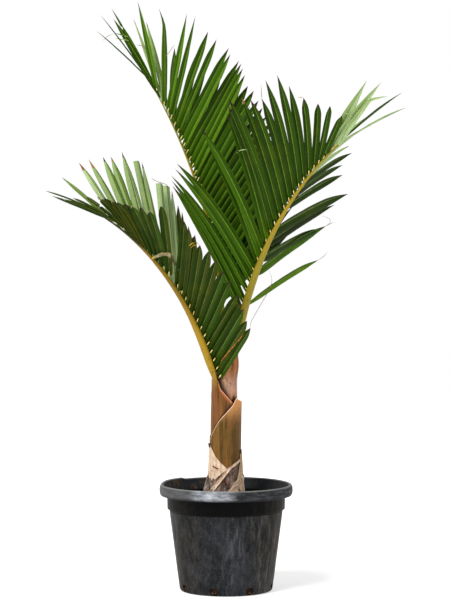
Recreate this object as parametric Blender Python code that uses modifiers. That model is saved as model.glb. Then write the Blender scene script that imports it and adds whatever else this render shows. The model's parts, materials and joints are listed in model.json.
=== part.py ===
"""A young potted spindle palm: nursery pot, soil, stem wrapped in leaf sheaths, and three feather fronds.

Metres, +Z up. The origin is on the pot's flat underside, on the pot's axis. -Y is the front.
"""

import math
import random

import bmesh
import bpy
from mathutils import Vector
from mathutils.bvhtree import BVHTree

PLANT_NAME = "potted_spindle_palm"
UP = Vector((0, 0, 1))

# Clearances between pieces that meet
GAP = 0.0003
SEAT_GAP = 0.0008
LEAF_MARGIN = 0.0008

# The pot
POT_HEIGHT = 0.281
POT_WALL = 0.002
FOOT_RADIUS = 0.123
FOOT_ROUND = 0.008
WALL_TOP_RADIUS = 0.149
WALL_TOP = 0.213
COLLAR_RADIUS = 0.155
COLLAR_TOP = 0.250
COLLAR_STEP = 0.004
RIM_CENTRE_RADIUS = 0.1705
RIM_ROUND = 0.0055
RIM_STEPS = 6
RIM_FLARE = 0.001
SKIRT_BOTTOM = 0.2515
POT_SIDES = 48
HOLE_COUNT = 8
HOLE_SIDES = 8
HOLE_RADIUS = 0.009
HOLE_DEPTH = 0.030
HOLE_HEIGHT = 0.0135
FIRST_HOLE = math.radians(-105)

# The soil
SOIL_TOP = 0.232
SOIL_DIP = 0.004
SOIL_FLAT_RADIUS = 0.080
SOIL_CORNER_GAP = 0.0005

# The stem: its middle line, and the radius of each layer at heights above the floor
STEM_SIDES = 20
STEM_X = [(0.232, -0.006), (0.30, -0.003), (0.63, 0.001)]
TRUNK_RADIUS = [(0.232, 0.052), (0.262, 0.042), (0.285, 0.0318), (0.31, 0.0303), (0.54, 0.0262),
                (0.63, 0.0268)]
INNER_SHEATH_RADIUS = [(0.30, 0.0335), (0.54, 0.0292), (0.63, 0.0302)]
LEFT_SHEATH_RADIUS = [(0.29, 0.0376), (0.50, 0.0376), (0.56, 0.0390)]
CUT_SHEATH_RADIUS = [(0.28, 0.0402), (0.51, 0.0402)]
DRY_SHEATH_RADIUS = [(0.232, 0.064), (0.267, 0.059), (0.304, 0.0485), (0.346, 0.0442), (0.39, 0.0425)]
FORK = 0.630
SHEATH_WALL = 0.002
DRY_WALL = 0.0015
SHEATH_LEVELS = 7

# The sheaths' lower ends, and the mouths where they open: heights at the stem's front and back, and how
# much higher they are at the right (lower at the left) until a level limit stops them
INNER_SHEATH_FOOT = 0.300
INNER_MOUTH = 0.6145
INNER_MOUTH_SLANT = 0.0145
LEFT_SHEATH_FOOT = 0.296
LEFT_MOUTH = 0.512
LEFT_MOUTH_SLANT = -0.0566
CUT_SHEATH_FOOT = 0.290
CUT_MOUTH = 0.461
CUT_MOUTH_SLANT = 0.060
CUT_MOUTH_BULGE = 0.011
CUT_LIP_HEIGHT = 0.512
CUT_LIP_X = 0.0278
CUT_LIP_SLOPE = 1.05
DRY_NOTCH_HEIGHT = 0.306
DRY_NOTCH_X = 0.0095
DRY_NOTCH_SLOPE = 1.35

# Fronds. Lean is from upright at the foot and the tip, heading is from +X towards +Y, and sweep turns it.
# Along a rib, places run from 0 at its foot to 1 at its tip. A row's side is +1 to the right of its rib,
# seen from the foot with the rib's upper face up. Angle is from the rib, and rise from the rib's own side.
# Leaflets are evenly spaced where a frond's crowding is 1, and closer towards its tip where it is more.
# A row's missing leaflets, counted from its foot, have broken off.
RIB_STEPS = 24
RIB_SIDES = 8
LAST_PLACE = 0.985
FRONDS = {
    "right_frond": {
        "foot": (0.020, -0.012, FORK), "length": 0.644, "lean": (16.4, 50.6), "bend": 1.31,
        "heading": -45, "sweep": 15.5, "crowding": 1.3,
        "half_width": [(0, 0.0125), (0.12, 0.0115), (0.22, 0.0090), (0.5, 0.0066), (1, 0.0024)],
        "half_thickness": [(0, 0.0100), (0.2, 0.0080), (0.5, 0.0058), (1, 0.0022)],
        "rows": [
            {"side": 1, "count": 23, "first": 0.14, "seed": 11, "droop": 12, "sweep": -8,
             "angle": [(0, 27), (0.25, 43), (0.5, 41), (0.75, 41), (0.9, 38), (1, 9)],
             "rise": [(0, 35), (0.5, 40), (1, 45)],
             "length": [(0, 0.43), (0.25, 0.375), (0.5, 0.385), (0.75, 0.34), (0.9, 0.17), (1, 0.22)]},
            {"side": -1, "count": 15, "first": 0.16, "seed": 12, "droop": 18, "sweep": 12, "missing": (1, 6),
             "angle": [(0, 75), (0.25, 69), (0.5, 66), (0.75, 74), (0.9, 70), (1, 44)],
             "rise": [(0, 14), (0.5, 12), (1, 17)],
             "length": [(0, 0.25), (0.25, 0.31), (0.5, 0.32), (0.75, 0.22), (0.9, 0.19), (1, 0.25)]},
        ]},
    "left_frond": {
        "foot": (-0.029, -0.022, 0.560), "length": 0.546, "lean": (18.2, 61.0), "bend": 1.29,
        "heading": 202, "sweep": 10.6, "crowding": 1.3,
        "half_width": [(0, 0.0125), (0.15, 0.0115), (0.35, 0.0075), (0.6, 0.0058), (1, 0.0024)],
        "half_thickness": [(0, 0.0060), (0.05, 0.0108), (0.13, 0.0115), (0.25, 0.0100), (0.36, 0.0078),
                           (0.6, 0.0062), (1, 0.0024)],
        "rows": [
            {"side": 1, "count": 23, "first": 0.02, "seed": 21, "droop": 6, "sweep": 2,
             "angle": [(0, 44), (0.25, 42), (0.5, 46), (0.75, 41), (0.9, 30), (1, 4)],
             "rise": [(0.2, 54), (0.6, 62), (1, 64)],
             "length": [(0, 0.20), (0.25, 0.27), (0.5, 0.297), (0.75, 0.264), (0.9, 0.19), (1, 0.16)]},
            {"side": -1, "count": 23, "first": 0.02, "seed": 22, "droop": 14, "sweep": 10,
             "angle": [(0, 58), (0.25, 54), (0.5, 46), (0.75, 28), (0.9, 14), (1, 7)],
             "rise": [(0, 30), (0.5, 25), (0.88, 12), (1, -60)],
             "length": [(0, 0.20), (0.25, 0.202), (0.5, 0.218), (0.75, 0.192), (0.9, 0.175), (1, 0.205)]},
        ]},
    "tall_frond": {
        "foot": (-0.012, 0.010, FORK), "length": 0.779, "lean": (-6.3, 33.4), "bend": 0.74,
        "heading": 165, "sweep": -10, "crowding": 1.0,
        "half_width": [(0, 0.0100), (0.2, 0.0080), (0.5, 0.0060), (1, 0.0022)],
        "half_thickness": [(0, 0.0090), (0.2, 0.0072), (0.5, 0.0055), (1, 0.0020)],
        "rows": [
            {"side": 1, "count": 25, "first": 0.16, "seed": 31, "droop": 9, "sweep": 3,
             "angle": [(0, 50), (0.25, 50), (0.5, 50), (0.75, 44), (0.9, 21), (1, 15)],
             "rise": [(0.5, 62), (0.85, 45), (1, -60)],
             "length": [(0, 0.27), (0.25, 0.32), (0.5, 0.335), (0.75, 0.295), (0.9, 0.22), (1, 0.22)]},
            {"side": -1, "count": 25, "first": 0.16, "seed": 32, "droop": 9, "sweep": 5,
             "angle": [(0, 46), (0.25, 47), (0.5, 50), (0.75, 60), (0.86, 53), (0.92, 31), (1, 2)],
             "rise": [(0.5, 76), (1, 70)],
             "length": [(0, 0.27), (0.25, 0.33), (0.5, 0.352), (0.75, 0.306), (0.9, 0.24), (1, 0.20)]},
        ]},
}

# A leaflet's half-width along it, as a share of its widest, and its thickness as a share of its length
LEAF_SHAPE = [(0.0, 0.30), (0.18, 0.92), (0.50, 1.0), (0.80, 0.55)]
LEAF_HALF_WIDTH = [(0, 0.0085), (0.3, 0.0100), (0.8, 0.0085), (1, 0.0050)]
LEAF_THICKNESS = 0.0115
RIDGE_FULLNESS = 1.5
DROOP_POWER = 1.5
LEAF_STEPS = 10
ANGLE_PLAY = 2.0
RISE_PLAY = 3.0
LENGTH_PLAY = 0.03


def clear_scene():
    for thing in list(bpy.data.objects):
        bpy.data.objects.remove(thing, do_unlink=True)


def collection(name):
    made = bpy.data.collections.new(name)
    bpy.context.scene.collection.children.link(made)
    return made


def material(name, colour, roughness, metallic=0.0):
    made = bpy.data.materials.new(name)
    made.use_nodes = True
    shader = made.node_tree.nodes["Principled BSDF"]
    shader.inputs["Base Color"].default_value = (*colour, 1)
    shader.inputs["Roughness"].default_value = roughness
    shader.inputs["Metallic"].default_value = metallic
    return made


def add_object(name, mesh, home, finish=None):
    piece = bpy.data.objects.new(name, mesh)
    home.objects.link(piece)
    if finish:
        mesh.materials.clear()
        mesh.materials.append(finish)
    return piece


def along(stops, place):
    """The value at a place on the straight lines between (place, value) stops."""
    if place <= stops[0][0]:
        return stops[0][1]
    for (low, at_low), (high, at_high) in zip(stops, stops[1:]):
        if place <= high:
            return at_low + (at_high - at_low) * (place - low) / (high - low)
    return stops[-1][1]


def loft(rings, capped=True, tip=None):
    """A bmesh skin over rings of points, with flat ends or, at the far end, one tip point."""
    skin = bmesh.new()
    rows = [[skin.verts.new(point) for point in ring] for ring in rings]
    count = len(rings[0])
    for low, high in zip(rows, rows[1:]):
        for i in range(count):
            j = (i + 1) % count
            skin.faces.new((low[i], low[j], high[j], high[i]))
    if capped:
        skin.faces.new(reversed(rows[0]))
    if tip is not None:
        end = skin.verts.new(tip)
        for i in range(count):
            skin.faces.new((rows[-1][i], rows[-1][(i + 1) % count], end))
    elif capped:
        skin.faces.new(rows[-1])
    return skin


def to_mesh(skin, name):
    mesh = bpy.data.meshes.new(name)
    bmesh.ops.recalc_face_normals(skin, faces=skin.faces)
    skin.to_mesh(mesh)
    skin.free()
    return mesh


def applied(piece):
    """Replace an object's mesh with what its modifiers make of it."""
    bpy.context.view_layer.update()
    shaped = bpy.data.meshes.new_from_object(piece.evaluated_get(bpy.context.evaluated_depsgraph_get()))
    piece.modifiers.clear()
    piece.data = shaped
    return piece


def turned(name, profile, home, finish):
    """A profile of (radius, height) points turned round the pot's axis."""
    shape = bmesh.new()
    points = [shape.verts.new((radius, 0, height)) for radius, height in profile]
    for start, end in zip(points, points[1:]):
        shape.edges.new((start, end))
    mesh = bpy.data.meshes.new(name)
    shape.to_mesh(mesh)
    shape.free()
    piece = add_object(name, mesh, home, finish)
    screw = piece.modifiers.new("turn", "SCREW")
    screw.steps = POT_SIDES
    screw.render_steps = POT_SIDES
    screw.use_merge_vertices = True
    screw.merge_threshold = 0.0001
    return piece


def foot_arc(inset, height, steps=4):
    """The rounded corner between the wall and the underside, from the wall down."""
    radius = FOOT_ROUND - inset
    centre = FOOT_RADIUS - FOOT_ROUND
    points = []
    for i in range(steps + 1):
        turn = math.radians(90 * i / steps)
        points.append((centre + radius * math.cos(turn), height + radius * (1 - math.sin(turn))))
    return points


def make_pot(home, cutters, finish):
    """One thin wall: a skirt rolled over the crest, a collar, a tapering wall and a flat underside."""
    under = RIM_ROUND - POT_WALL
    crest = POT_HEIGHT - RIM_ROUND
    profile = [(RIM_CENTRE_RADIUS + under, SKIRT_BOTTOM)]
    for i in range(RIM_STEPS + 1):
        turn = math.pi * i / RIM_STEPS
        profile.append((RIM_CENTRE_RADIUS + under * math.cos(turn), crest + under * math.sin(turn)))
    profile += [(COLLAR_RADIUS + RIM_FLARE, COLLAR_TOP), (COLLAR_RADIUS, WALL_TOP + COLLAR_STEP),
                (WALL_TOP_RADIUS, WALL_TOP)]
    profile += foot_arc(0, 0) + [(0, 0)]
    pot = turned("pot", profile, home, finish)
    wall = pot.modifiers.new("wall", "SOLIDIFY")
    wall.thickness = POT_WALL
    wall.offset = -1
    wall.use_even_offset = True
    for i in range(HOLE_COUNT):
        turn = FIRST_HOLE + 2 * math.pi * i / HOLE_COUNT
        bore = bmesh.new()
        bmesh.ops.create_cone(bore, cap_ends=True, segments=HOLE_SIDES, radius1=HOLE_RADIUS,
                              radius2=HOLE_RADIUS, depth=HOLE_DEPTH)
        drill = add_object(f"drain_bore_{i}", to_mesh(bore, "drain_bore"), cutters)
        drill.rotation_euler = (0, math.radians(90), turn)
        drill.location = (FOOT_RADIUS * math.cos(turn), FOOT_RADIUS * math.sin(turn), HOLE_HEIGHT)
        drill.hide_render = True
        drill.display_type = "WIRE"
    drain = pot.modifiers.new("drain_holes", "BOOLEAN")
    drain.operand_type = "COLLECTION"
    drain.collection = cutters
    drain.operation = "DIFFERENCE"
    drain.solver = "EXACT"
    return pot


def make_soil(home, finish):
    """Potting soil that fills the pot, clear of its wall."""
    inset = POT_WALL + GAP
    edge = SOIL_TOP - SOIL_DIP
    collar = COLLAR_RADIUS - inset
    step = WALL_TOP + POT_WALL
    profile = [(0, SOIL_TOP), (SOIL_FLAT_RADIUS, SOIL_TOP), (collar, edge), (collar, step + COLLAR_STEP),
               (WALL_TOP_RADIUS - inset, step)]
    profile += foot_arc(POT_WALL + SOIL_CORNER_GAP, POT_WALL + GAP) + [(0, POT_WALL + GAP)]
    return turned("soil", profile, home, finish)


def stem_turns():
    return [2 * math.pi * i / STEM_SIDES for i in range(STEM_SIDES)]


def stem_point(height, radius, turn):
    return Vector((along(STEM_X, height) + radius * math.cos(turn), radius * math.sin(turn), height))


def make_trunk(home, finish):
    """The stem from its flat cut at the soil to the fork, flared at its foot."""
    foot = SOIL_TOP + GAP
    heights = [foot] + [height for height, _ in TRUNK_RADIUS[1:-1]] + [FORK - GAP]
    rings = [[stem_point(height, along(TRUNK_RADIUS, height), turn) for turn in stem_turns()]
             for height in heights]
    return add_object("trunk", to_mesh(loft(rings), "trunk"), home, finish)


def make_sheath(name, radii, bottom, mouth, thickness, home, finish):
    """A tube round the stem whose upper edge, a leaf base's slanted mouth, is as high as mouth(turn)."""
    rings = []
    for level in range(SHEATH_LEVELS + 1):
        ring = []
        for turn in stem_turns():
            height = bottom + (mouth(turn) - bottom) * level / SHEATH_LEVELS
            ring.append(stem_point(height, along(radii, height), turn))
        rings.append(ring)
    skin = loft(rings, capped=False)
    mesh = bpy.data.meshes.new(name)
    skin.to_mesh(mesh)
    skin.free()
    piece = add_object(name, mesh, home, finish)
    wall = piece.modifiers.new("wall", "SOLIDIFY")
    wall.thickness = thickness
    wall.offset = -1
    wall.use_even_offset = True
    return piece


def dry_mouth(turn):
    """A notch at the front and the back, with the dead sheath's two torn points at the sides."""
    across = along(DRY_SHEATH_RADIUS, DRY_NOTCH_HEIGHT) * math.cos(turn)
    return DRY_NOTCH_HEIGHT + DRY_NOTCH_SLOPE * abs(across - DRY_NOTCH_X)


def cut_mouth(turn):
    """High at the right, where the old stalk was cut off, and low at the left."""
    slant = CUT_MOUTH + CUT_MOUTH_SLANT * math.cos(turn) + CUT_MOUTH_BULGE * math.sin(turn) ** 2
    across = (along(CUT_SHEATH_RADIUS, CUT_MOUTH) - SHEATH_WALL / 2) * math.cos(turn)
    return min(slant, CUT_LIP_HEIGHT - CUT_LIP_SLOPE * (across - CUT_LIP_X))


def left_mouth(turn):
    """High at the left, under the left frond's stalk."""
    return min(LEFT_MOUTH + LEFT_MOUTH_SLANT * math.cos(turn), FRONDS["left_frond"]["foot"][2] - SEAT_GAP)


def inner_mouth(turn):
    """Nearly level, just under the fork."""
    return min(INNER_MOUTH + INNER_MOUTH_SLANT * math.cos(turn), FORK - SEAT_GAP)


def rib_frames(frond):
    """Centre, direction, upper normal and right-hand side at even steps along a rib."""
    frames = []
    point = Vector(frond["foot"])
    last = None
    for i in range(RIB_STEPS + 1):
        share = i / RIB_STEPS
        low, high = frond["lean"]
        lean = math.radians(low + (high - low) * share ** frond["bend"])
        heading = math.radians(frond["heading"] + frond["sweep"] * share)
        out = Vector((math.cos(heading), math.sin(heading), 0))
        direction = out * math.sin(lean) + UP * math.cos(lean)
        upper = UP * math.sin(lean) - out * math.cos(lean)
        if last is not None:
            point = point + (last + direction).normalized() * frond["length"] / RIB_STEPS
        frames.append((point, direction, upper, direction.cross(upper)))
        last = direction
    return frames


def frame_at(frames, place):
    step = min(int(place * RIB_STEPS), RIB_STEPS - 1)
    share = place * RIB_STEPS - step
    point = frames[step][0].lerp(frames[step + 1][0], share)
    axes = [frames[step][i].lerp(frames[step + 1][i], share).normalized() for i in (1, 2, 3)]
    return point, *axes


def make_rib(name, frond, frames):
    """The stalk and rib: oval sections that taper from a level foot to the tip."""
    rings = []
    for i in range(0, RIB_STEPS + 1, 2):
        point, _, upper, side = frames[i]
        half_width = along(frond["half_width"], i / RIB_STEPS)
        half_thickness = along(frond["half_thickness"], i / RIB_STEPS)
        turns = [2 * math.pi * j / RIB_SIDES for j in range(RIB_SIDES)]
        rings.append([point + side * half_width * math.cos(a) + upper * half_thickness * math.sin(a)
                      for a in turns])
    _, direction, _, _ = frames[0]
    rings[0] = [corner + direction * (frond["foot"][2] - corner.z) / direction.z for corner in rings[0]]
    return to_mesh(loft(rings), name)


def leaflet_places(row, crowding):
    """Places along the rib for a row's leaflets."""
    shares = [(i + 0.5) / row["count"] for i in range(row["count"])]
    return [row["first"] + (LAST_PLACE - row["first"]) * (1 - (1 - share) ** crowding) for share in shares]


def leaflet_line(frames, row, place, play):
    """Points and directions along one leaflet from the rib's centre, its cross direction and its length."""
    point, direction, upper, side = frame_at(frames, place)
    angle = math.radians(along(row["angle"], place) + ANGLE_PLAY * play[0])
    rise = math.radians(along(row["rise"], place) + RISE_PLAY * play[1])
    length = along(row["length"], place) * (1 + LENGTH_PLAY * play[2])
    side = side * row["side"]
    out = side * math.cos(rise) + upper * math.sin(rise)
    face = upper * math.cos(rise) - side * math.sin(rise)
    start = direction * math.cos(angle) + out * math.sin(angle)
    line = [(point, start)]
    for i in range(LEAF_STEPS):
        share = (i + 0.5) / LEAF_STEPS
        pull = -UP * math.tan(math.radians(row["droop"])) * share ** DROOP_POWER
        pull += direction * math.tan(math.radians(row["sweep"])) * share
        course = (start + pull).normalized()
        point = point + course * length / LEAF_STEPS
        line.append((point, course))
    return line, direction, face, length


def leaflet(frames, row, place, play, margin=0.0):
    """A folded blade with three corners in section: its two edges and the ridge of its fold."""
    line, rib_direction, face, length = leaflet_line(frames, row, place, play)
    widest = along(LEAF_HALF_WIDTH, place)
    rings = []
    for share, fullness in LEAF_SHAPE:
        point, course = line[round(share * LEAF_STEPS)]
        across = (rib_direction - course * rib_direction.dot(course)).normalized()
        normal = course.cross(across)
        if normal.dot(face) < 0:
            normal = -normal
        half = widest * fullness + margin
        ridge = LEAF_THICKNESS * length * min(1, fullness * RIDGE_FULLNESS) + margin
        base = point - normal * margin
        rings.append([base - across * half, base + across * half, point + normal * ridge])
    return loft(rings, tip=line[-1][0])


def leaflets_of(frond, frames, obstacles):
    """The blades of both rows, without those that would touch another limb or frond."""
    blades = []
    for row in frond["rows"]:
        chance = random.Random(row["seed"])
        for i, place in enumerate(leaflet_places(row, frond["crowding"])):
            play = [chance.uniform(-1, 1) for _ in range(3)]
            if i in row.get("missing", ()):
                continue
            trial = leaflet(frames, row, place, play, LEAF_MARGIN)
            tree = BVHTree.FromBMesh(trial)
            trial.free()
            if any(tree.overlap(other) for other in obstacles):
                continue
            blades.append(leaflet(frames, row, place, play))
    return blades


def surface_tree(piece):
    """A search tree of an object's surface, with its modifiers."""
    bpy.context.view_layer.update()
    shape = bmesh.new()
    shape.from_object(piece, bpy.context.evaluated_depsgraph_get())
    tree = BVHTree.FromBMesh(shape)
    shape.free()
    return tree


def keep_largest_shell(mesh):
    """Drop what fusing leaves beside the frond's own surface: a sealed hollow or a loose scrap."""
    shape = bmesh.new()
    shape.from_mesh(mesh)
    waiting = set(shape.faces)
    shells = []
    while waiting:
        shell = {waiting.pop()}
        border = set(shell)
        while border:
            border = {other for face in border for edge in face.edges for other in edge.link_faces} - shell
            shell |= border
        waiting -= shell
        shells.append(shell)
    shells.sort(key=len)
    for shell in shells[:-1]:
        bmesh.ops.delete(shape, geom=list(shell), context="FACES")
    shape.to_mesh(mesh)
    shape.free()


def make_fronds(home, stem_pieces, finish):
    """Each frond is its rib with its leaflets fused on, clear of the stem and the other fronds."""
    frames = {name: rib_frames(frond) for name, frond in FRONDS.items()}
    ribs = {name: add_object(name, make_rib(name, frond, frames[name]), home, finish)
            for name, frond in FRONDS.items()}
    obstacles = {name: surface_tree(rib) for name, rib in ribs.items()}
    stem = [surface_tree(piece) for piece in stem_pieces]
    for name, frond in FRONDS.items():
        others = stem + [tree for other, tree in obstacles.items() if other != name]
        blades = collection(name + "_leaflets")
        for i, shape in enumerate(leaflets_of(frond, frames[name], others)):
            add_object(f"{name}_leaflet_{i}", to_mesh(shape, "leaflet"), blades, finish)
        count = len(blades.objects)
        union = ribs[name].modifiers.new("leaflets", "BOOLEAN")
        union.operand_type = "COLLECTION"
        union.collection = blades
        union.operation = "UNION"
        union.solver = "MANIFOLD"
        applied(ribs[name])
        keep_largest_shell(ribs[name].data)
        for blade in list(blades.objects):
            bpy.data.objects.remove(blade, do_unlink=True)
        bpy.data.collections.remove(blades)
        obstacles[name] = surface_tree(ribs[name])
        wanted = sum(row["count"] - len(row.get("missing", ())) for row in frond["rows"])
        print(f"{name}: {count} of {wanted} leaflets, {len(ribs[name].data.polygons)} faces")


def main():
    clear_scene()
    plant = collection(PLANT_NAME)
    cutters = collection("cutters")
    pot = material("pot_plastic", (0.030, 0.032, 0.035), 0.5)
    soil = material("soil", (0.060, 0.032, 0.018), 0.95)
    bark = material("stem_skin", (0.20, 0.10, 0.04), 0.7)
    brown = material("brown_sheath", (0.22, 0.11, 0.045), 0.6)
    olive = material("olive_sheath", (0.15, 0.085, 0.025), 0.6)
    papery = material("dry_sheath", (0.62, 0.46, 0.33), 0.85)
    leaf = material("leaf", (0.05, 0.14, 0.02), 0.4)
    make_pot(plant, cutters, pot)
    make_soil(plant, soil)
    stem = [
        make_trunk(plant, bark),
        make_sheath("inner_sheath", INNER_SHEATH_RADIUS, INNER_SHEATH_FOOT, inner_mouth,
                    SHEATH_WALL, plant, brown),
        make_sheath("left_frond_sheath", LEFT_SHEATH_RADIUS, LEFT_SHEATH_FOOT, left_mouth,
                    SHEATH_WALL, plant, brown),
        make_sheath("cut_sheath", CUT_SHEATH_RADIUS, CUT_SHEATH_FOOT, cut_mouth,
                    SHEATH_WALL, plant, olive),
        make_sheath("dry_sheath", DRY_SHEATH_RADIUS, SOIL_TOP + 2 * GAP, dry_mouth,
                    DRY_WALL, plant, papery),
    ]
    make_fronds(plant, stem, leaf)


main()
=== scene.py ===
# %% [markdown]
# # A potted spindle palm
# A young feather palm in a black nursery pot. Its solids are packed already: a pot, soil, a stem wrapped
# in leaf sheaths, and three fronds. This script keeps their places and gives each one its real surface.
# Metres, +Z up, and -Y is the front. The origin is the centre of the pot's flat underside.

# %% Load the packed solids
import json
import math
import random

import bmesh
import bpy
from mathutils import Matrix, Vector, noise
from mathutils.bvhtree import BVHTree

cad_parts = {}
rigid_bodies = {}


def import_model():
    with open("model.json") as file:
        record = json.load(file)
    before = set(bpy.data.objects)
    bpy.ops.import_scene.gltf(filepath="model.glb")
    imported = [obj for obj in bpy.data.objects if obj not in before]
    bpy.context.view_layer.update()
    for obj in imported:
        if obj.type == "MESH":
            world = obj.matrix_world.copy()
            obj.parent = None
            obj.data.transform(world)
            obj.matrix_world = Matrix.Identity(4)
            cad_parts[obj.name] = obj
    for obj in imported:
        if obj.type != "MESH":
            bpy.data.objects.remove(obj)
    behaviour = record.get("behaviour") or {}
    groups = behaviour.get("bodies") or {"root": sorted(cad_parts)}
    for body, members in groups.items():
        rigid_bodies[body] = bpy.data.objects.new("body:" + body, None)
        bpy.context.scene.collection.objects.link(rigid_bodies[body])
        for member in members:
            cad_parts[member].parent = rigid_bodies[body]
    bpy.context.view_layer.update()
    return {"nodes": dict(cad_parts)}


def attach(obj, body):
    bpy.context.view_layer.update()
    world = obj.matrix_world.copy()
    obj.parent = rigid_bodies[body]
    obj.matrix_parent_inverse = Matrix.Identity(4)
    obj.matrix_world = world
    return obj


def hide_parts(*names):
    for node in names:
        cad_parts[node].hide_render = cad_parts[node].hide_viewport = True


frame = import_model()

UP = Vector((0, 0, 1))
print("solids:", ", ".join(sorted(frame["nodes"])))

# %% [markdown]
# ## Camera
# The plant was photographed from the front, from about the height of its crown, with a long lens. A long
# lens keeps the pot's rim a thin ellipse and the stem upright, so the camera stands seven metres away.

# %% Camera
CAMERA_PLACE = Vector((-0.003, -7.0, 1.1))
CAMERA_AIM = Vector((-0.003, 0.0, 0.767))
CAMERA_LENS = 159.8
SENSOR_WIDTH = 36

camera = bpy.data.objects.new("camera", bpy.data.cameras.new("camera"))
camera.data.lens = CAMERA_LENS
camera.data.sensor_width = SENSOR_WIDTH
camera.location = CAMERA_PLACE
camera.rotation_euler = (CAMERA_AIM - CAMERA_PLACE).to_track_quat("-Z", "Y").to_euler()
bpy.context.scene.collection.objects.link(camera)
bpy.context.scene.camera = camera
print("camera turned by", [round(math.degrees(turn), 1) for turn in camera.rotation_euler], "degrees")

# %% [markdown]
# Leaf tips and torn threads have their places where the photo shows them. Two helpers go between space and
# picture: one says at which pixel the camera sees a point, the other which point a pixel shows.

# %% Points and pixels
PHOTO_SIZE = (450, 600)
FOCUS = CAMERA_LENS / SENSOR_WIDTH * PHOTO_SIZE[1]
CAMERA_TURN = camera.rotation_euler.to_matrix()


def on_photo(point):
    """Where the camera sees a point, in the photo's pixels."""
    seen = CAMERA_TURN.transposed() @ (point - CAMERA_PLACE)
    return Vector((PHOTO_SIZE[0] / 2 - FOCUS * seen.x / seen.z,
                   PHOTO_SIZE[1] / 2 + FOCUS * seen.y / seen.z))


def from_photo(pixel, depth):
    """The point that a pixel shows, on the upright plane at this y."""
    ray = CAMERA_TURN @ Vector((pixel[0] - PHOTO_SIZE[0] / 2, PHOTO_SIZE[1] / 2 - pixel[1], -FOCUS))
    return CAMERA_PLACE + ray * ((depth - CAMERA_PLACE.y) / ray.y)


print("the pot stands at pixel", [round(part, 1) for part in on_photo(Vector((0, 0, 0)))])

# %% [markdown]
# ## A short way to write materials
# A finish on a real plant is never one flat colour. Blender mixes such finishes from nodes, and a node
# tree is easier to read as a sum. `Value` wraps a socket, so that `1 - mask * 0.5` adds its Math nodes.

# %% Values
class Value:
    """An output socket that can be used in sums."""

    def __init__(self, finish, socket):
        self.finish = finish
        self.socket = socket

    def calc(self, operation, *terms):
        return self.finish.node("Math", {"operation": operation}, dict(enumerate(terms)))

    def __add__(self, other):
        return self.calc("ADD", self, other)

    def __sub__(self, other):
        return self.calc("SUBTRACT", self, other)

    def __rsub__(self, other):
        return self.calc("SUBTRACT", other, self)

    def __mul__(self, other):
        return self.calc("MULTIPLY", self, other)

    def __pow__(self, other):
        return self.calc("POWER", self, other)

    __radd__ = __add__
    __rmul__ = __mul__

    def ramp(self, low, high):
        """0 below low, 1 above high, and a smooth rise between them."""
        settings = {"interpolation_type": "SMOOTHSTEP"}
        return self.finish.node("MapRange", settings, {"Value": self, "From Min": low, "From Max": high})

# %% [markdown]
# Colours are picked on screen, where 128 looks half as bright as 255. Shaders count light itself, so each
# colour goes through the curve between the two.

# %% Colours
def srgb(red, green, blue):
    """A colour as picked on screen, 0 to 255, in the linear values that shaders use."""
    def linear(level):
        share = level / 255
        return share / 12.92 if share <= 0.04045 else ((share + 0.055) / 1.055) ** 2.4
    return (linear(red), linear(green), linear(blue), 1)


print("half bright on screen is", round(srgb(128, 128, 128)[0], 3), "of the light")

# %% [markdown]
# `Finish` is one material. Its methods add the few kinds of node that this plant needs: a place on the
# object, noise, a mix of two colours and a bump. `node` adds any other.

# %% Finishes
class Finish:
    """One material: a Principled shader and the nodes that feed it."""

    def __init__(self, name, roughness=0.5, **constants):
        self.material = bpy.data.materials.new(name)
        self.material.use_nodes = True
        self.tree = self.material.node_tree
        self.shader = self.tree.nodes["Principled BSDF"]
        self.roughness(roughness)
        for socket, value in constants.items():
            self.put(self.shader.inputs[socket.replace("_", " ")], value)

    def put(self, socket, value):
        if isinstance(value, Value):
            self.tree.links.new(value.socket, socket)
        else:
            socket.default_value = value

    def node(self, kind, settings=None, inputs=None, output=0):
        made = self.tree.nodes.new("ShaderNode" + kind)
        for name, value in (settings or {}).items():
            setattr(made, name, value)
        for key, value in (inputs or {}).items():
            self.put(made.inputs[key], value)
        return Value(self, made.outputs[output])

    def mix(self, factor, first, second):
        """Two colours mixed: the first where the factor is 0, the second where it is 1.
        The sockets go by number, because this node has several of each name."""
        settings = {"data_type": "RGBA", "clamp_factor": True}
        return self.node("Mix", settings, {0: factor, 6: first, 7: second}, output=2)

    def place(self, scale=(1, 1, 1)):
        """Object coordinates, stretched."""
        spot = self.node("TexCoord", output="Object")
        return self.node("Mapping", {}, {"Vector": spot, "Scale": scale})

    def parts(self, vector):
        return [self.node("SeparateXYZ", {}, {"Vector": vector}, output=axis) for axis in "XYZ"]

    def height(self):
        """How high a point is above the floor."""
        return self.node("SeparateXYZ", {}, {"Vector": self.node("TexCoord", output="Object")}, output="Z")

    def speckle(self, vector, scale=1.0, detail=4.0, roughness=0.55):
        inputs = {"Vector": vector, "Scale": scale, "Detail": detail, "Roughness": roughness}
        return self.node("TexNoise", {}, inputs)

    def grain(self, stretch, detail, roughness):
        """Noise that is finer along an axis with a larger stretch."""
        return self.speckle(self.place(stretch), 1.0, detail, roughness)

    def colour(self, value):
        self.put(self.shader.inputs["Base Color"], value)

    def roughness(self, value):
        self.put(self.shader.inputs["Roughness"], value)

    def bump(self, height, distance, strength=1.0):
        inputs = {"Height": height, "Distance": distance, "Strength": strength}
        self.put(self.shader.inputs["Normal"], self.node("Bump", {}, inputs))


print("a finish can", ", ".join(name for name in vars(Finish) if name[0] != "_"))

# %% [markdown]
# ## Helpers for shapes
# Most of a palm is long shapes that change slowly: a stem, a stalk, a leaf sheath. What changes along them
# is told by a few stops, and a value between two stops is read off the line between them.

# %% Values between stops
SOFT_STEPS = 3


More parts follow.
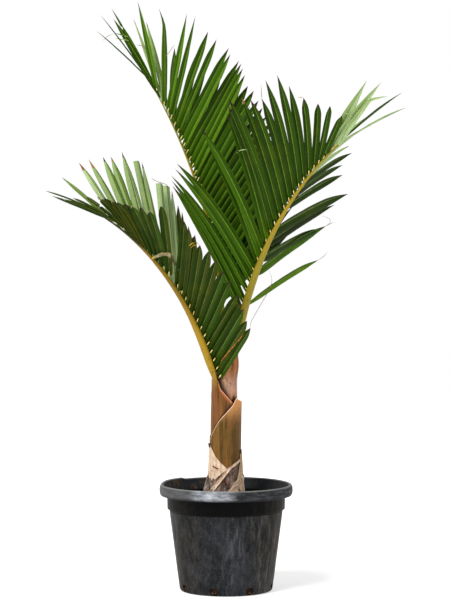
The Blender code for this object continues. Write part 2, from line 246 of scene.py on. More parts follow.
def along(stops, place):
    """The value at a place on the straight lines between (place, value) stops."""
    if place <= stops[0][0]:
        return stops[0][1]
    for (low, at_low), (high, at_high) in zip(stops, stops[1:]):
        if place <= high:
            return at_low + (at_high - at_low) * (place - low) / (high - low)
    return stops[-1][1]


def softly(stops, place, spread):
    """The same, with its corners rounded by averaging over a spread of places."""
    samples = [along(stops, place + spread * step / SOFT_STEPS)
               for step in range(-SOFT_STEPS, SOFT_STEPS + 1)]
    return sum(samples) / len(samples)


def ease(low, high, place):
    """0 before low, 1 after high, and a smooth rise between them."""
    share = min(1.0, max(0.0, (place - low) / (high - low)))
    return share * share * (3 - 2 * share)


print("halfway up an eased rise:", ease(0, 1, 0.5))

# %% [markdown]
# Blender can sweep a long shape by extruding a ring of edges and moving the new ring to its place, again
# and again. `sweep` does that with a circle, and can cap the ends or join them into one wall. A round pot is
# simpler: half of its section is spun round the axis.

# %% Sweeping and spinning
MERGE_DISTANCE = 0.00001


def ring_edges(shape, corners):
    return [shape.edges.get(pair) for pair in zip(corners, corners[1:] + corners[:1])]


def sweep(shape, rings, closed=False):
    """Extrude a circle through rings of points, and return each band's faces.
    Its two ends are capped, or joined where it is closed."""
    corners = bmesh.ops.create_circle(shape, segments=len(rings[0]), radius=1)["verts"]
    first = ring_edges(shape, corners)
    edges = first
    bands = []
    for number, ring in enumerate(rings):
        if number > 0:
            grown = bmesh.ops.extrude_edge_only(shape, edges=edges)["geom"]
            twins = {item for item in grown if isinstance(item, bmesh.types.BMVert)}
            bands.append([item for item in grown if isinstance(item, bmesh.types.BMFace)])
            corners = [next(edge.other_vert(corner) for edge in corner.link_edges
                            if edge.other_vert(corner) in twins) for corner in corners]
            edges = ring_edges(shape, corners)
        for corner, point in zip(corners, ring):
            corner.co = point
    if closed:
        bands.append(bmesh.ops.bridge_loops(shape, edges=first + edges)["faces"])
    else:
        bmesh.ops.holes_fill(shape, edges=first + edges, sides=len(rings[0]))
    return bands


def outward(shape):
    bmesh.ops.recalc_face_normals(shape, faces=shape.faces)


def spun(shape, profile, steps):
    """Turn (radius, height) points round the pot's axis, from one end of the profile to the other."""
    points = [shape.verts.new((radius, 0, height)) for radius, height in profile]
    edges = [shape.edges.new(pair) for pair in zip(points, points[1:])]
    bmesh.ops.spin(shape, geom=points + edges, axis=(0, 0, 1), angle=2 * math.pi, steps=steps,
                   use_merge=True)
    bmesh.ops.remove_doubles(shape, verts=shape.verts, dist=MERGE_DISTANCE)
    outward(shape)

# %% [markdown]
# Each piece rides on the plant, and hides the solids that it stands for.

# %% Pieces
def as_object(name, shape, finishes=()):
    """A bmesh becomes the mesh of a new object."""
    mesh = bpy.data.meshes.new(name)
    shape.to_mesh(mesh)
    shape.free()
    for finish in finishes:
        mesh.materials.append(finish.material)
    return bpy.data.objects.new(name, mesh)


def new_piece(name, shape, finishes, replaced=()):
    """A smooth object that rides on the plant, and stands for the solids it replaces."""
    piece = as_object(name, shape, finishes)
    piece.data.shade_smooth()
    bpy.context.scene.collection.objects.link(piece)
    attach(piece, "root")
    if replaced:
        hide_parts(*replaced)
    triangles = sum(len(face.vertices) - 2 for face in piece.data.polygons)
    print(f"{name}: {len(piece.data.vertices)} points, {triangles} triangles")
    return piece


def applied(piece):
    """Turn an object's modifiers into its mesh."""
    bpy.context.view_layer.update()
    shaped = piece.evaluated_get(bpy.context.evaluated_depsgraph_get())
    piece.data = bpy.data.meshes.new_from_object(shaped)
    piece.modifiers.clear()
    return piece

# %% [markdown]
# ## The pot
# A black nursery pot is one thin wall of moulded plastic: a tapering side, a step out to a collar, and a rim
# rolled outward and down. Anything with one axis is quickest to spin from half of its section. The section
# follows the wall's outside from the floor to the rim's lip and comes back along the inside.

# %% The pot's wall in section
POT_WALL = 0.002
FOOT_RADIUS = 0.123
FOOT_ROUND = 0.008
WALL_TOP = 0.213
WALL_TOP_RADIUS = 0.149
COLLAR_RADIUS = 0.155
COLLAR_STEP = 0.004
COLLAR_TOP = 0.25
RIM_FLARE = 0.001
# Rings close under and over the step, that keep its corners sharp on a smooth mesh
STEP_RINGS = (0.004, 0.001, 0.002)


def arc(centre, radius, start, end, steps):
    """Points on part of a circle in the section, between two angles in degrees."""
    turns = [math.radians(start + (end - start) * step / steps) for step in range(steps + 1)]
    return [(centre[0] + radius * math.cos(turn), centre[1] + radius * math.sin(turn)) for turn in turns]


def between(start, end, steps):
    """Points between two points of a section, without either end."""
    return [(start[0] + (end[0] - start[0]) * step / steps, start[1] + (end[1] - start[1]) * step / steps)
            for step in range(1, steps)]


def wall_line(inset):
    """The wall from the middle of the underside to just under the rim, this far inside its outer face."""
    middle = (0, inset)
    foot = arc((FOOT_RADIUS - FOOT_ROUND, FOOT_ROUND), FOOT_ROUND - inset, -90, 0, 6)
    far_under, close_under, close_over = STEP_RINGS
    side_top = (WALL_TOP_RADIUS - inset, WALL_TOP - far_under)
    step_rim = (WALL_TOP_RADIUS - inset, WALL_TOP - close_under)
    step_foot = (WALL_TOP_RADIUS - inset, WALL_TOP + inset)
    step_head = (COLLAR_RADIUS - inset, WALL_TOP + COLLAR_STEP)
    collar_foot = (COLLAR_RADIUS - inset, WALL_TOP + COLLAR_STEP + close_over)
    collar_head = (COLLAR_RADIUS + RIM_FLARE - inset, COLLAR_TOP)
    return ([middle] + between(middle, foot[0], 6) + foot + between(foot[-1], side_top, 14)
            + [side_top, step_rim, step_foot, step_head, collar_foot]
            + between(collar_foot, collar_head, 5) + [collar_head])


under_wall = wall_line(0)
inside_wall = wall_line(POT_WALL)
print("wall:", len(under_wall), "points on each side")

# %% [markdown]
# The rim rolls over like a pipe's bead. Its inner half is part of a circle over the collar, and its outer
# half is drawn out downward to a lip. The same two curves, one wall thickness further in, are its inside.

# %% The pot's rim in section
RIM_CENTRE_RADIUS = 0.1705
RIM_ROUND = 0.0055
RIM_LIP = 0.2515
LIP_ROUND = (0.0012, 0.0009)
POT_HEIGHT = 0.281
rim_crest = (RIM_CENTRE_RADIUS, POT_HEIGHT - RIM_ROUND)
rim_fall = (POT_HEIGHT - RIM_LIP) / 2


def roll(inset, start, end, steps):
    """The rim's round outer side, tall and narrow, from its crest down to its lip."""
    turns = [math.radians(start + (end - start) * step / steps) for step in range(steps + 1)]
    return [(RIM_CENTRE_RADIUS + (RIM_ROUND - inset) * math.cos(turn),
             POT_HEIGHT - rim_fall + (rim_fall - inset) * math.sin(turn)) for turn in turns]


# Angles in degrees: 180 is the crest's inner side, 90 its top, and -60 is just over the lip
outer_rim = arc(rim_crest, RIM_ROUND, 180, 100, 5) + roll(0, 85, -62, 18)
inner_rim = roll(POT_WALL, -58, 85, 18) + arc(rim_crest, RIM_ROUND - POT_WALL, 100, 180, 5)
lip = [(outer_rim[-1][0] - LIP_ROUND[0], outer_rim[-1][1] - LIP_ROUND[1])]
# Under the rim the outer face runs up inside the roll, and the inner face up to the crest
pot_section = (under_wall + between(under_wall[-1], inner_rim[-1], 3) + inner_rim[::-1] + lip
               + outer_rim[::-1] + between(outer_rim[0], inside_wall[-1], 3) + inside_wall[::-1])
print("pot section:", len(pot_section), "points")

# %% [markdown]
# The pot is used. Something once bent the back of its rim up, at the left, and left a sharp little step.
# Its side has shallow flutes and isn't quite round. All of that is a small move of the spun wall's points.

# %% Wear on the pot
DENT_START = math.radians(172)
DENT_RUN_IN = (0.25, 0.35)
DENT_END = math.radians(131)
DENT_STEP = math.radians(3)
DENT_RISE = 0.0035
DENT_FOOT = 0.26
FLUTES = 24
FLUTE_DEPTH = 0.003
FLUTE_FOOT = (0.02, 0.04)
FLUTE_HEAD = (WALL_TOP - 0.004, WALL_TOP - 0.03)
OUT_OF_ROUND = 0.0022


def wear_pot(shape):
    for corner in shape.verts:
        turn = math.atan2(corner.co.y, corner.co.x)
        reach = math.hypot(corner.co.x, corner.co.y)
        bent = ease(DENT_START + DENT_RUN_IN[0], DENT_START - DENT_RUN_IN[1], turn)
        bent *= ease(DENT_END, DENT_END + DENT_STEP, turn)
        high = ease(DENT_FOOT, POT_HEIGHT - RIM_ROUND, corner.co.z)
        corner.co.z += DENT_RISE * bent * high
        worn = noise.noise(Vector((math.cos(turn), math.sin(turn), corner.co.z * 4)) * 3)
        if reach > COLLAR_RADIUS * 0.7 and corner.co.z > 0.001:
            flute = FLUTE_DEPTH * math.cos(FLUTES * turn)
            flute *= ease(*FLUTE_FOOT, corner.co.z) * ease(*FLUTE_HEAD, corner.co.z)
            swell = 1 + OUT_OF_ROUND * worn * ease(0.0, 0.1, corner.co.z) + flute
            corner.co.x *= swell
            corner.co.y *= swell


print("the rim is bent up by", DENT_RISE * 1000, "mm")

# %% [markdown]
# Drain holes go round the foot. They are cut with a Boolean modifier, because eight round holes through a
# rounded corner would be tedious to model by hand. Its cutters are cylinders that are taken away after.

# %% Drain holes
HOLE_COUNT = 8
HOLE_RADIUS = 0.01
HOLE_HEIGHT = 0.0118
HOLE_STRETCH = 1.15
HOLE_SIDES = 24
DRILL_LENGTH = 0.03
HOLE_TURNS = [math.radians(-105) + 2 * math.pi * i / HOLE_COUNT for i in range(HOLE_COUNT)]


def make_drill(name, turn):
    drill = bmesh.new()
    bmesh.ops.create_cone(drill, cap_ends=True, segments=HOLE_SIDES, radius1=HOLE_RADIUS,
                          radius2=HOLE_RADIUS, depth=DRILL_LENGTH)
    bmesh.ops.rotate(drill, verts=drill.verts, matrix=Matrix.Rotation(math.radians(90), 3, "Y"))
    bmesh.ops.scale(drill, verts=drill.verts, vec=(1, HOLE_STRETCH, 1))
    bmesh.ops.translate(drill, verts=drill.verts, vec=(FOOT_RADIUS, 0, HOLE_HEIGHT))
    bmesh.ops.rotate(drill, verts=drill.verts, matrix=Matrix.Rotation(turn, 3, "Z"))
    return as_object(name, drill)


def drill_holes(pot):
    cutters = bpy.data.collections.new("cutters")
    for i, turn in enumerate(HOLE_TURNS):
        cutters.objects.link(make_drill(f"drill_{i}", turn))
    cut = pot.modifiers.new("drain_holes", "BOOLEAN")
    cut.operand_type = "COLLECTION"
    cut.collection = cutters
    cut.operation = "DIFFERENCE"
    cut.solver = "EXACT"
    applied(pot)
    for drill in list(cutters.objects):
        bpy.data.objects.remove(drill)
    bpy.data.collections.remove(cutters)
    print("pot with", HOLE_COUNT, "drain holes:", len(pot.data.polygons), "faces")


# %% [markdown]
# Old black plastic is charcoal. Rain has washed the dust on it into streaks, and the wall's left and right
# edges get paler streaks still, as painted sheen. The collar carries little dust and is painted almost
# black, as shade under the rim, with a painted shadow at its step. The rim is scuffed pale and is paler
# towards the left. Over that it has a painted highlight at the front left and along its crest, and painted
# shade under its roll, just over the lip.

# %% Pot plastic
def pot_finish():
    finish = Finish("pot_plastic", 0.55, Specular_IOR_Level=0.06)
    spot = finish.place()
    across, back, height = finish.parts(spot)
    reach = (across * across + back * back) ** 0.5
    side = across.calc("ABSOLUTE", across.calc("DIVIDE", across, reach))
    # Marks, each from 0 to 1
    streaks = finish.grain((110, 110, 5), 5, 0.7).ramp(0.48, 0.72)
    wash = finish.grain((14, 14, 3), 3, 0.5).ramp(0.4, 0.66)
    wash = wash * (across.ramp(-0.06, 0.05) * 0.7 + 0.3)
    patches = finish.speckle(spot, 11, 5, 0.6).ramp(0.42, 0.7)
    grit = finish.speckle(spot, 420, 3, 0.7).ramp(0.56, 0.7)
    mottle = finish.grain((60, 60, 34), 8, 0.8).ramp(0.4, 0.7)
    scuffs = finish.grain((34, 34, 150), 6, 0.75).ramp(0.42, 0.68)
    # Places, each from 0 to 1
    over_lip = height.ramp(RIM_LIP - 0.001, RIM_LIP + 0.002)
    on_rim = reach.ramp(RIM_CENTRE_RADIUS - RIM_ROUND, RIM_CENTRE_RADIUS - RIM_ROUND + 0.0018)
    rim = over_lip * on_rim
    crest = height.ramp(POT_HEIGHT - 0.0045, POT_HEIGHT - 0.001) * on_rim
    collar = height.ramp(WALL_TOP + 0.0005, WALL_TOP + 0.0025) * (1 - rim)
    shadow = height.ramp(WALL_TOP - 0.003, WALL_TOP) * (1 - height.ramp(WALL_TOP + 0.0035, WALL_TOP + 0.005))
    front = across.ramp(-0.115, -0.05) * (1 - across.ramp(-0.01, 0.035)) * (1 - back.ramp(-0.16, -0.13))
    # The wall, inside and out
    # Dust streaks, and paler streaks at the left and right edges as painted sheen
    dust_and_edge_sheen = streaks * wash * 0.52 + mottle * 0.18 + grit * 0.32 + side.ramp(0.86, 0.95) * streaks * 0.55
    # The collar keeps little dust, and is painted almost black as shade under the rim
    dust_and_edge_sheen = dust_and_edge_sheen * (1 - collar * (0.97 - side.ramp(0.25, 0.95) * 0.35))
    bare = finish.mix(patches, srgb(18, 19, 21), srgb(38, 39, 43))
    bare = finish.mix(collar, bare, srgb(1, 1, 1))
    body = finish.mix(dust_and_edge_sheen, bare, finish.mix(side.ramp(0.2, 0.9), srgb(104, 106, 108), srgb(116, 106, 92)))
    # Painted shadow at the collar's step
    body = finish.mix(shadow, body, srgb(2, 2, 2))
    dirt = finish.mix((patches + mottle).ramp(0.5, 1.1), srgb(48, 51, 56), srgb(98, 82, 62))
    inside = finish.mix(over_lip * 0.6, body, dirt)
    # The rim
    worn = finish.mix(patches * 0.7, srgb(30, 31, 33), srgb(62, 62, 63))
    worn = finish.mix(across.ramp(-0.05, -0.12) * 0.5, worn, srgb(90, 90, 88))
    worn = finish.mix(scuffs * 0.2, worn, srgb(128, 131, 136))
    # Painted highlight on the rim's front left, over its scuffs, and another along its crest
    worn = finish.mix(front * (scuffs * 0.55 + 0.24), worn, srgb(196, 200, 208))
    worn = finish.mix(crest * 0.45, worn, srgb(150, 150, 146))
    # Painted shade under the roll, just over the lip
    worn = finish.mix(1 - height.ramp(RIM_LIP, RIM_LIP + 0.0085), worn, srgb(26, 27, 29))
    finish.colour(finish.mix(rim, inside, worn))
    finish.roughness(0.5 + dust_and_edge_sheen * 0.35 - rim * scuffs * 0.12)
    finish.bump(finish.speckle(spot, 180, 4, 0.6) + scuffs * rim * 0.6, 0.0005, 0.35)
    return finish


# %% Pot
POT_STEPS = 144


def make_pot(finish):
    shape = bmesh.new()
    spun(shape, pot_section, POT_STEPS)
    wear_pot(shape)
    drill_holes(new_piece("nursery_pot", shape, [finish], ["pot"]))


make_pot(pot_finish())

# %% [markdown]
# ## The soil
# Potting soil fills the pot to about five centimetres under the rim. A flat brown disc would give itself
# away, so its top is pushed up and down by noise, and crumbs and bits of bark lie on it. Below, it follows
# the inside of the wall, and shows in the drain holes.

# %% Soil
SOIL_TOP = 0.232
SOIL_DIP = 0.004
SOIL_GAP = 0.0006
SOIL_RELIEF = 0.0035
SOIL_RINGS = 26
SOIL_STEPS = 96


def soil_ground(shape):
    inset = POT_WALL + SOIL_GAP
    wall = [point for point in wall_line(inset) if point[1] < SOIL_TOP - SOIL_DIP - 0.002]
    edge = (COLLAR_RADIUS - inset, SOIL_TOP - SOIL_DIP)
    middle = (0, SOIL_TOP - 0.003)
    spun(shape, wall + [edge] + between(edge, middle, SOIL_RINGS) + [middle], SOIL_STEPS)
    for corner in shape.verts:
        if corner.co.z > SOIL_TOP - SOIL_DIP - 0.001:
            reach = math.hypot(corner.co.x, corner.co.y)
            inner = 1 - ease(COLLAR_RADIUS - 0.012, COLLAR_RADIUS - inset, reach)
            coarse = noise.noise(corner.co * 38)
            fine = noise.noise(corner.co * 120)
            corner.co.z += SOIL_RELIEF * inner * (0.6 * coarse + 0.4 * fine)


print("soil lies", round((POT_HEIGHT - SOIL_TOP) * 1000), "mm under the rim")

# %% [markdown]
# A crumb is a tiny ball, squashed and turned at random. A quarter of them are bits of bark, in a paler
# brown. The random numbers start from a seed, so that the same crumbs come back each time.

# %% Crumbs
CRUMBS = 520
CRUMB_SEED = 5
CRUMB_REACH = 0.146
CRUMB_SINK = 0.0025
BARK_SHARE = 0.25


def add_crumb(shape, chance):
    reach = CRUMB_REACH * math.sqrt(chance.random())
    turn = chance.uniform(0, 2 * math.pi)
    size = 0.0012 + 0.0042 * chance.random() ** 2.5
    crumb = bmesh.ops.create_icosphere(shape, subdivisions=1, radius=size)["verts"]
    squash = Matrix.Diagonal((chance.uniform(0.8, 1.5), chance.uniform(0.7, 1.1), chance.uniform(0.5, 0.9)))
    bmesh.ops.transform(shape, matrix=squash.to_4x4(), verts=crumb)
    bmesh.ops.rotate(shape, verts=crumb, matrix=Matrix.Rotation(chance.uniform(0, 6.28), 3, "Z"))
    place = Vector((reach * math.cos(turn), reach * math.sin(turn), SOIL_TOP - CRUMB_SINK))
    bmesh.ops.translate(shape, verts=crumb, vec=place)
    if chance.random() < BARK_SHARE:
        for face in {face for corner in crumb for face in corner.link_faces}:
            face.material_index = 1


def soil_finish(name, dark, light, scale=260):
    finish = Finish(name, 0.95, Specular_IOR_Level=0.1)
    grain = finish.speckle(finish.place(), scale, 5, 0.7)
    finish.colour(finish.mix(grain.ramp(0.35, 0.68), dark, light))
    finish.roughness(0.85 + grain * 0.15)
    finish.bump(grain, 0.002, 0.8)
    return finish


def make_soil(finishes):
    shape = bmesh.new()
    soil_ground(shape)
    chance = random.Random(CRUMB_SEED)
    for _ in range(CRUMBS):
        add_crumb(shape, chance)
    new_piece("soil_top", shape, finishes, ["soil"])


make_soil([soil_finish("damp_soil", srgb(12, 8, 6), srgb(50, 32, 22)),
           soil_finish("bark_chip", srgb(92, 62, 40), srgb(150, 112, 78))])

# %% [markdown]
# Thin red-brown root ends show in the drain holes. Each is a short bent taper, swept from the soil to just
# inside the hole.

# %% Roots in the drain holes
ROOTS_PER_HOLE = 6
ROOT_SEED = 19
ROOT_RADIUS = 0.0017
ROOT_RINGS = 5
ROOT_SIDES = 5


def add_root_end(shape, chance, out, aside):
    start = out * (FOOT_RADIUS - 0.009) + aside * chance.uniform(-0.007, 0.007)
    start = start + UP * (HOLE_HEIGHT + chance.uniform(-0.005, 0.006))
    lean = aside * chance.uniform(-0.5, 0.5) + UP * chance.uniform(-0.3, 0.3)
    reach = chance.uniform(0.0065, 0.0095)
    corners = [math.radians(360 / ROOT_SIDES * corner) for corner in range(ROOT_SIDES)]
    rings = []
    for step in range(ROOT_RINGS):
        share = step / (ROOT_RINGS - 1)
        centre = start + out * reach * share + lean * reach * share ** 2
        radius = ROOT_RADIUS * (1 - 0.5 * share)
        rings.append([centre + (aside * math.cos(turn) + UP * math.sin(turn)) * radius for turn in corners])
    sweep(shape, rings)


def make_root_ends(finish):
    chance = random.Random(ROOT_SEED)
    shape = bmesh.new()
    for turn in HOLE_TURNS:
        out = Vector((math.cos(turn), math.sin(turn), 0))
        aside = Vector((-math.sin(turn), math.cos(turn), 0))
        for _ in range(ROOTS_PER_HOLE):
            add_root_end(shape, chance, out, aside)
    outward(shape)
    new_piece("root_ends", shape, [finish])


make_root_ends(soil_finish("red_root", srgb(20, 6, 3), srgb(176, 140, 112), 190))

# %% [markdown]
# ## The stem and its leaf sheaths
# A young palm's stem hides in the bases of its leaves. Each base is a sheath: a tube that wraps the stem,
# with one free margin that runs up slantwise to the stalk. So everything here is placed by its height and by
# its turn round the stem, whose middle line leans a very little.

# %% Places round the stem
STEM_X = [(0.232, -0.006), (0.3, -0.003), (0.63, 0.001)]
STEM_SIDES = 96
STEM_TURNS = [2 * math.pi * i / STEM_SIDES for i in range(STEM_SIDES)]
FORK = 0.63


def stem_point(height, radius, turn):
    """A point round the stem. Turn 0 is the right, -90 degrees is the front."""
    middle = softly(STEM_X, height, 0.02)
    return Vector((middle + radius * math.cos(turn), radius * math.sin(turn), height))


def around_stops(stops, turn):
    """The value at a turn, from (degrees, value) stops that run from -180 to 180."""
    degrees = (math.degrees(turn) + 180) % 360 - 180
    return softly(stops, degrees, 5)


def thinned(ring, wall):
    """A ring moved in towards the stem's middle, by the thickness of a wall."""
    return [point + (stem_point(point.z, 0, 0) - point).normalized() * wall for point in ring]


stem_lean = math.atan((STEM_X[-1][1] - STEM_X[0][1]) / (STEM_X[-1][0] - STEM_X[0][0]))
print("stem leans", round(math.degrees(stem_lean), 2), "degrees")

# %% [markdown]
# A sheath's rings run up its outside, over a lip and down its inside, so its wall comes in one sweep.
# Shallow ridges of fibre keep it from looking turned on a lathe. Each point also stores how far it is from
# the sheath's margin, and from the margins over it, so that the finish can colour the lip and paint shade
# under the margins that cover it.

# %% A sheath
SHEATH_LEVELS = 60
SHEATH_WALL = 0.002
FIBRE_DEPTH = 0.0006
LIP_FLARE = 0.0006
PETIOLE_FOOT = 0.552


def fibres(height, turn):
    around = Vector((math.cos(turn), math.sin(turn), 0))
    ridges = noise.noise(around * 9 + UP * height * 6)
    swell = noise.noise(around * 1.6 + UP * height * 14)
    return FIBRE_DEPTH * (0.45 * ridges + 0.55 * swell)


def sheath_rings(radii, bottom, margin, flare):
    shares = [level / SHEATH_LEVELS for level in range(SHEATH_LEVELS + 1)]
    outer = []
    for share in shares:
        ring = []
        for turn in STEM_TURNS:
            height = bottom + (around_stops(margin, turn) - bottom) * share
            radius = softly(radii, height, 0.012) + fibres(height, turn)
            ring.append(stem_point(height, radius + flare * share ** 16, turn))
        outer.append(ring)
    inner = [thinned(ring, SHEATH_WALL * (1 - 0.45 * share ** 6)) for ring, share in zip(outer, shares)]
    lip = [(a + b) / 2 + UP * SHEATH_WALL * 0.3 for a, b in zip(outer[-1], inner[-1])]
    return outer + [lip] + inner[::-1]


def store_distances(shape, distances):
    """Keep two numbers at each point: its distance from the margin, and how far it lies into the painted
    shadow under the margins over it.
    """
    from_margin = shape.verts.layers.float.new("margin")
    margin_shadow_layer = shape.verts.layers.float.new("margin_shadow")
    for corner in shape.verts:
        corner[from_margin], corner[margin_shadow_layer] = distances(corner.co)


def make_sheath(name, radii, bottom, margin, over, finishes, node, flare=LIP_FLARE):
    """A wrapped tube with three finishes: skin, lip and inside. Its margin is as high as the stops say.
    Over holds the margins that lie over it, each with how far down its shadow reaches."""
    shape = bmesh.new()
    bands = sweep(shape, sheath_rings(radii, bottom, margin, flare), closed=True)
    for band in bands[SHEATH_LEVELS:SHEATH_LEVELS + 2]:
        for face in band:
            face.material_index = 1 if face.calc_center_median().z < PETIOLE_FOOT else 0
    for band in bands[SHEATH_LEVELS + 2:]:
        for face in band:
            face.material_index = 2

    def distances(spot):
        turn = math.atan2(spot.y, spot.x - stem_point(spot.z, 0, 0).x)
        shadows = [(spot.z - around_stops(other, turn)) / around_stops(reach, turn) for other, reach in over]
        return around_stops(margin, turn) - spot.z, min(shadows, default=1)

    store_distances(shape, distances)
    outward(shape)
    new_piece(name, shape, finishes, [node])


print("a sheath has", 2 * SHEATH_LEVELS + 3, "rings of", STEM_SIDES, "points")

# %% [markdown]
# Living and dying sheaths share one skin: fine fibres run up it, cloudy patches come from old wax, and small
# dark scars lie across it. One function makes that finish in each sheath's own colours. Some change colour
# with height, sharply or in flecks, and a sheath with a free margin is paler along it. Under the margins
# that lie over a sheath, its colour is darkened as painted shadow.

# %% Sheath skin
SCAR = srgb(52, 34, 20)
# The colour of the painted shadow under the margins that lie over a sheath
MARGIN_SHADOW_COLOUR = srgb(30, 16, 10)
SHARP = False
FLECKED = True


def sheath_finish(name, dark, light, patch, patch_amount=0.5, bands=(), edge=None, glow=None):
    """Each band is (low, high, colour, amount, SHARP or FLECKED). Glow is the colour close to the edge."""
    finish = Finish(name, 0.5, Specular_IOR_Level=0.16)
    grain = finish.grain((150, 150, 7), 5, 0.65)
    broad = finish.grain((48, 48, 5), 3, 0.5)
    cloud = finish.grain((26, 26, 11), 4, 0.6)
    spots = finish.grain((120, 120, 70), 3, 0.6).ramp(0.6, 0.72)
    height = finish.height()
    colour = finish.mix((grain * 0.6 + broad * 0.4).ramp(0.34, 0.66), dark, light)
    colour = finish.mix(cloud.ramp(0.46, 0.66) * patch_amount, colour, patch)
    for low, high, tint, amount, flecked in bands:
        share = height.ramp(low, high)
        if flecked:
            flecks = finish.speckle(finish.place(), 520, 4, 0.8).ramp(0.4, 0.64)
            share = share * (1 - height.ramp(high, high + (high - low) * 2)) * flecks
        colour = finish.mix(share * amount, colour, tint)
    colour = finish.mix(spots * 0.6, colour, SCAR)
    if edge:
        margin = finish.node("Attribute", {"attribute_name": "margin"}, output="Fac")
        margin_shadow = finish.node("Attribute", {"attribute_name": "margin_shadow"}, output="Fac")
        stalk = height.ramp(PETIOLE_FOOT - 0.01, PETIOLE_FOOT)
        near = (1 - margin.ramp(0.0015, 0.016)) * height.ramp(0.465, 0.5) * (1 - stalk)
        colour = finish.mix(near * 0.6, colour, glow or edge)
        colour = finish.mix((1 - margin.ramp(0.0006, 0.003)) * (1 - stalk) * 0.9, colour, edge)
        # Painted shadow under the margins that lie over this sheath
        colour = finish.mix((1 - margin_shadow.ramp(0.0, 1.0)) * 0.92, colour, MARGIN_SHADOW_COLOUR)
    finish.colour(colour)
    finish.roughness(0.42 + grain * 0.25)
    finish.bump(grain + broad * 0.5 + spots * 0.4, 0.0009, 0.5)
    return finish


pale_lip = sheath_finish("pale_lip", srgb(214, 176, 140), srgb(246, 224, 196), srgb(226, 178, 146))
pink_lip = sheath_finish("pink_lip", srgb(176, 98, 62), srgb(224, 148, 110), srgb(206, 122, 92))
sheath_inside = sheath_finish("sheath_inside", srgb(58, 34, 24), srgb(96, 60, 40), srgb(70, 42, 30))
print("lips and insides:", ", ".join(made.material.name for made in (pale_lip, pink_lip, sheath_inside)))

# %% [markdown]
# A frond's skin goes on from its sheath up its stalk and rib, from brown through orange to green. So the
# same function colours the sheath here and the rib later.

# %% Skins of the right and the left frond
def right_skin(name):
    return sheath_finish(name, srgb(98, 54, 24), srgb(182, 122, 66), srgb(180, 124, 84), 0.6,
                         bands=[(0.505, 0.535, srgb(186, 168, 158), 0.8, FLECKED),
                                (0.6, 0.68, srgb(142, 130, 32), 0.92, SHARP),
                                (0.8, 1.05, srgb(156, 130, 28), 0.85, SHARP),
                                (1.05, 1.2, srgb(116, 116, 28), 0.8, SHARP)], edge=srgb(150, 116, 60))


def left_skin(name):
    return sheath_finish(name, srgb(66, 38, 12), srgb(132, 86, 36), srgb(124, 72, 42), 0.6,
                         bands=[(0.525, 0.59, srgb(160, 128, 28), 0.92, SHARP),
                                (0.66, 0.8, srgb(126, 98, 16), 0.85, SHARP),
                                (0.885, 0.935, srgb(44, 52, 8), 0.92, SHARP)],
                         edge=srgb(232, 160, 128), glow=srgb(178, 104, 56))


# %% [markdown]
# Three sheaths overlap like a wrapped coat. The inner one carries the right and the tall frond. The left
# frond's own sheath wraps that, with an orange margin. Around both lies the olive base of a frond that
# was cut off, with a pale cut lip at the right.

# %% Three sheaths
INNER_RADIUS = [(0.3, 0.0335), (0.54, 0.029), (0.58, 0.029), (0.61, 0.0297), (0.63, 0.0314),
                (0.66, 0.033)]
LEFT_RADIUS = [(0.29, 0.0386), (0.42, 0.0396), (0.47, 0.0398), (0.52, 0.0384), (0.56, 0.038)]
CUT_RADIUS = [(0.28, 0.0408), (0.4, 0.0418), (0.51, 0.042)]
# How high each margin is, by degrees round the stem
INNER_MARGIN = [(-180, 0.622), (-135, 0.628), (-90, 0.638), (-60, 0.65), (-31, 0.656), (0, 0.65),
                (45, 0.632), (90, 0.624), (180, 0.622)]
LEFT_MARGIN = [(-180, 0.5592), (-125, 0.5592), (-114, 0.536), (-66, 0.5), (-20, 0.47), (0, 0.456),
               (90, 0.512), (140, 0.555), (180, 0.5592)]
CUT_MARGIN = [(-180, 0.401), (-160, 0.402), (-110, 0.455), (-62, 0.494), (-50, 0.512), (-38, 0.506),
              (0, 0.498), (60, 0.484), (90, 0.472), (135, 0.424), (180, 0.401)]
# How far down the painted shadow under a margin reaches, by degrees round the stem
CLOSE_SHADOW = [(-180, 0.014), (180, 0.014)]
FORK_SHADOW = [(-180, 0.045), (-105, 0.045), (-75, 0.016), (180, 0.014)]

olive_skin = sheath_finish("olive_sheath", srgb(58, 42, 8), srgb(123, 87, 32), srgb(128, 82, 38), 0.6,
                           bands=[(0.44, 0.5, srgb(196, 136, 80), 0.85, SHARP)],
                           edge=srgb(232, 190, 156), glow=srgb(200, 136, 90))
make_sheath("inner_leaf_base", INNER_RADIUS, 0.3, INNER_MARGIN,
            [(LEFT_MARGIN, FORK_SHADOW), (CUT_MARGIN, CLOSE_SHADOW)],
            [right_skin("brown_sheath"), sheath_inside, sheath_inside], "inner_sheath",
            flare=0)
make_sheath("left_leaf_base", LEFT_RADIUS, 0.296, LEFT_MARGIN, [(CUT_MARGIN, CLOSE_SHADOW)],
            [left_skin("orange_sheath"), pink_lip, sheath_inside], "left_frond_sheath")
make_sheath("cut_leaf_base", CUT_RADIUS, 0.29, CUT_MARGIN, [], [olive_skin, pale_lip, sheath_inside],
            "cut_sheath")

# %% [markdown]
# The stem itself only shows between the sheaths' mouths and under their torn feet. It is swept like they
# are. Ring scars lie at even distances, and noise presses cracks into it.

# %% Stem
TRUNK_RADIUS = [(0.232, 0.052), (0.262, 0.042), (0.285, 0.0318), (0.31, 0.0303), (0.54, 0.0262),
                (0.6, 0.0262), (0.63, 0.0268)]
TRUNK_FOOT = 0.2323
TRUNK_TOP = 0.6295
TRUNK_LEVELS = 110
TRUNK_INSET = 0.0004
SCAR_SPACING = 0.014
SCAR_DEPTH = 0.0009
CRACK_DEPTH = 0.0022


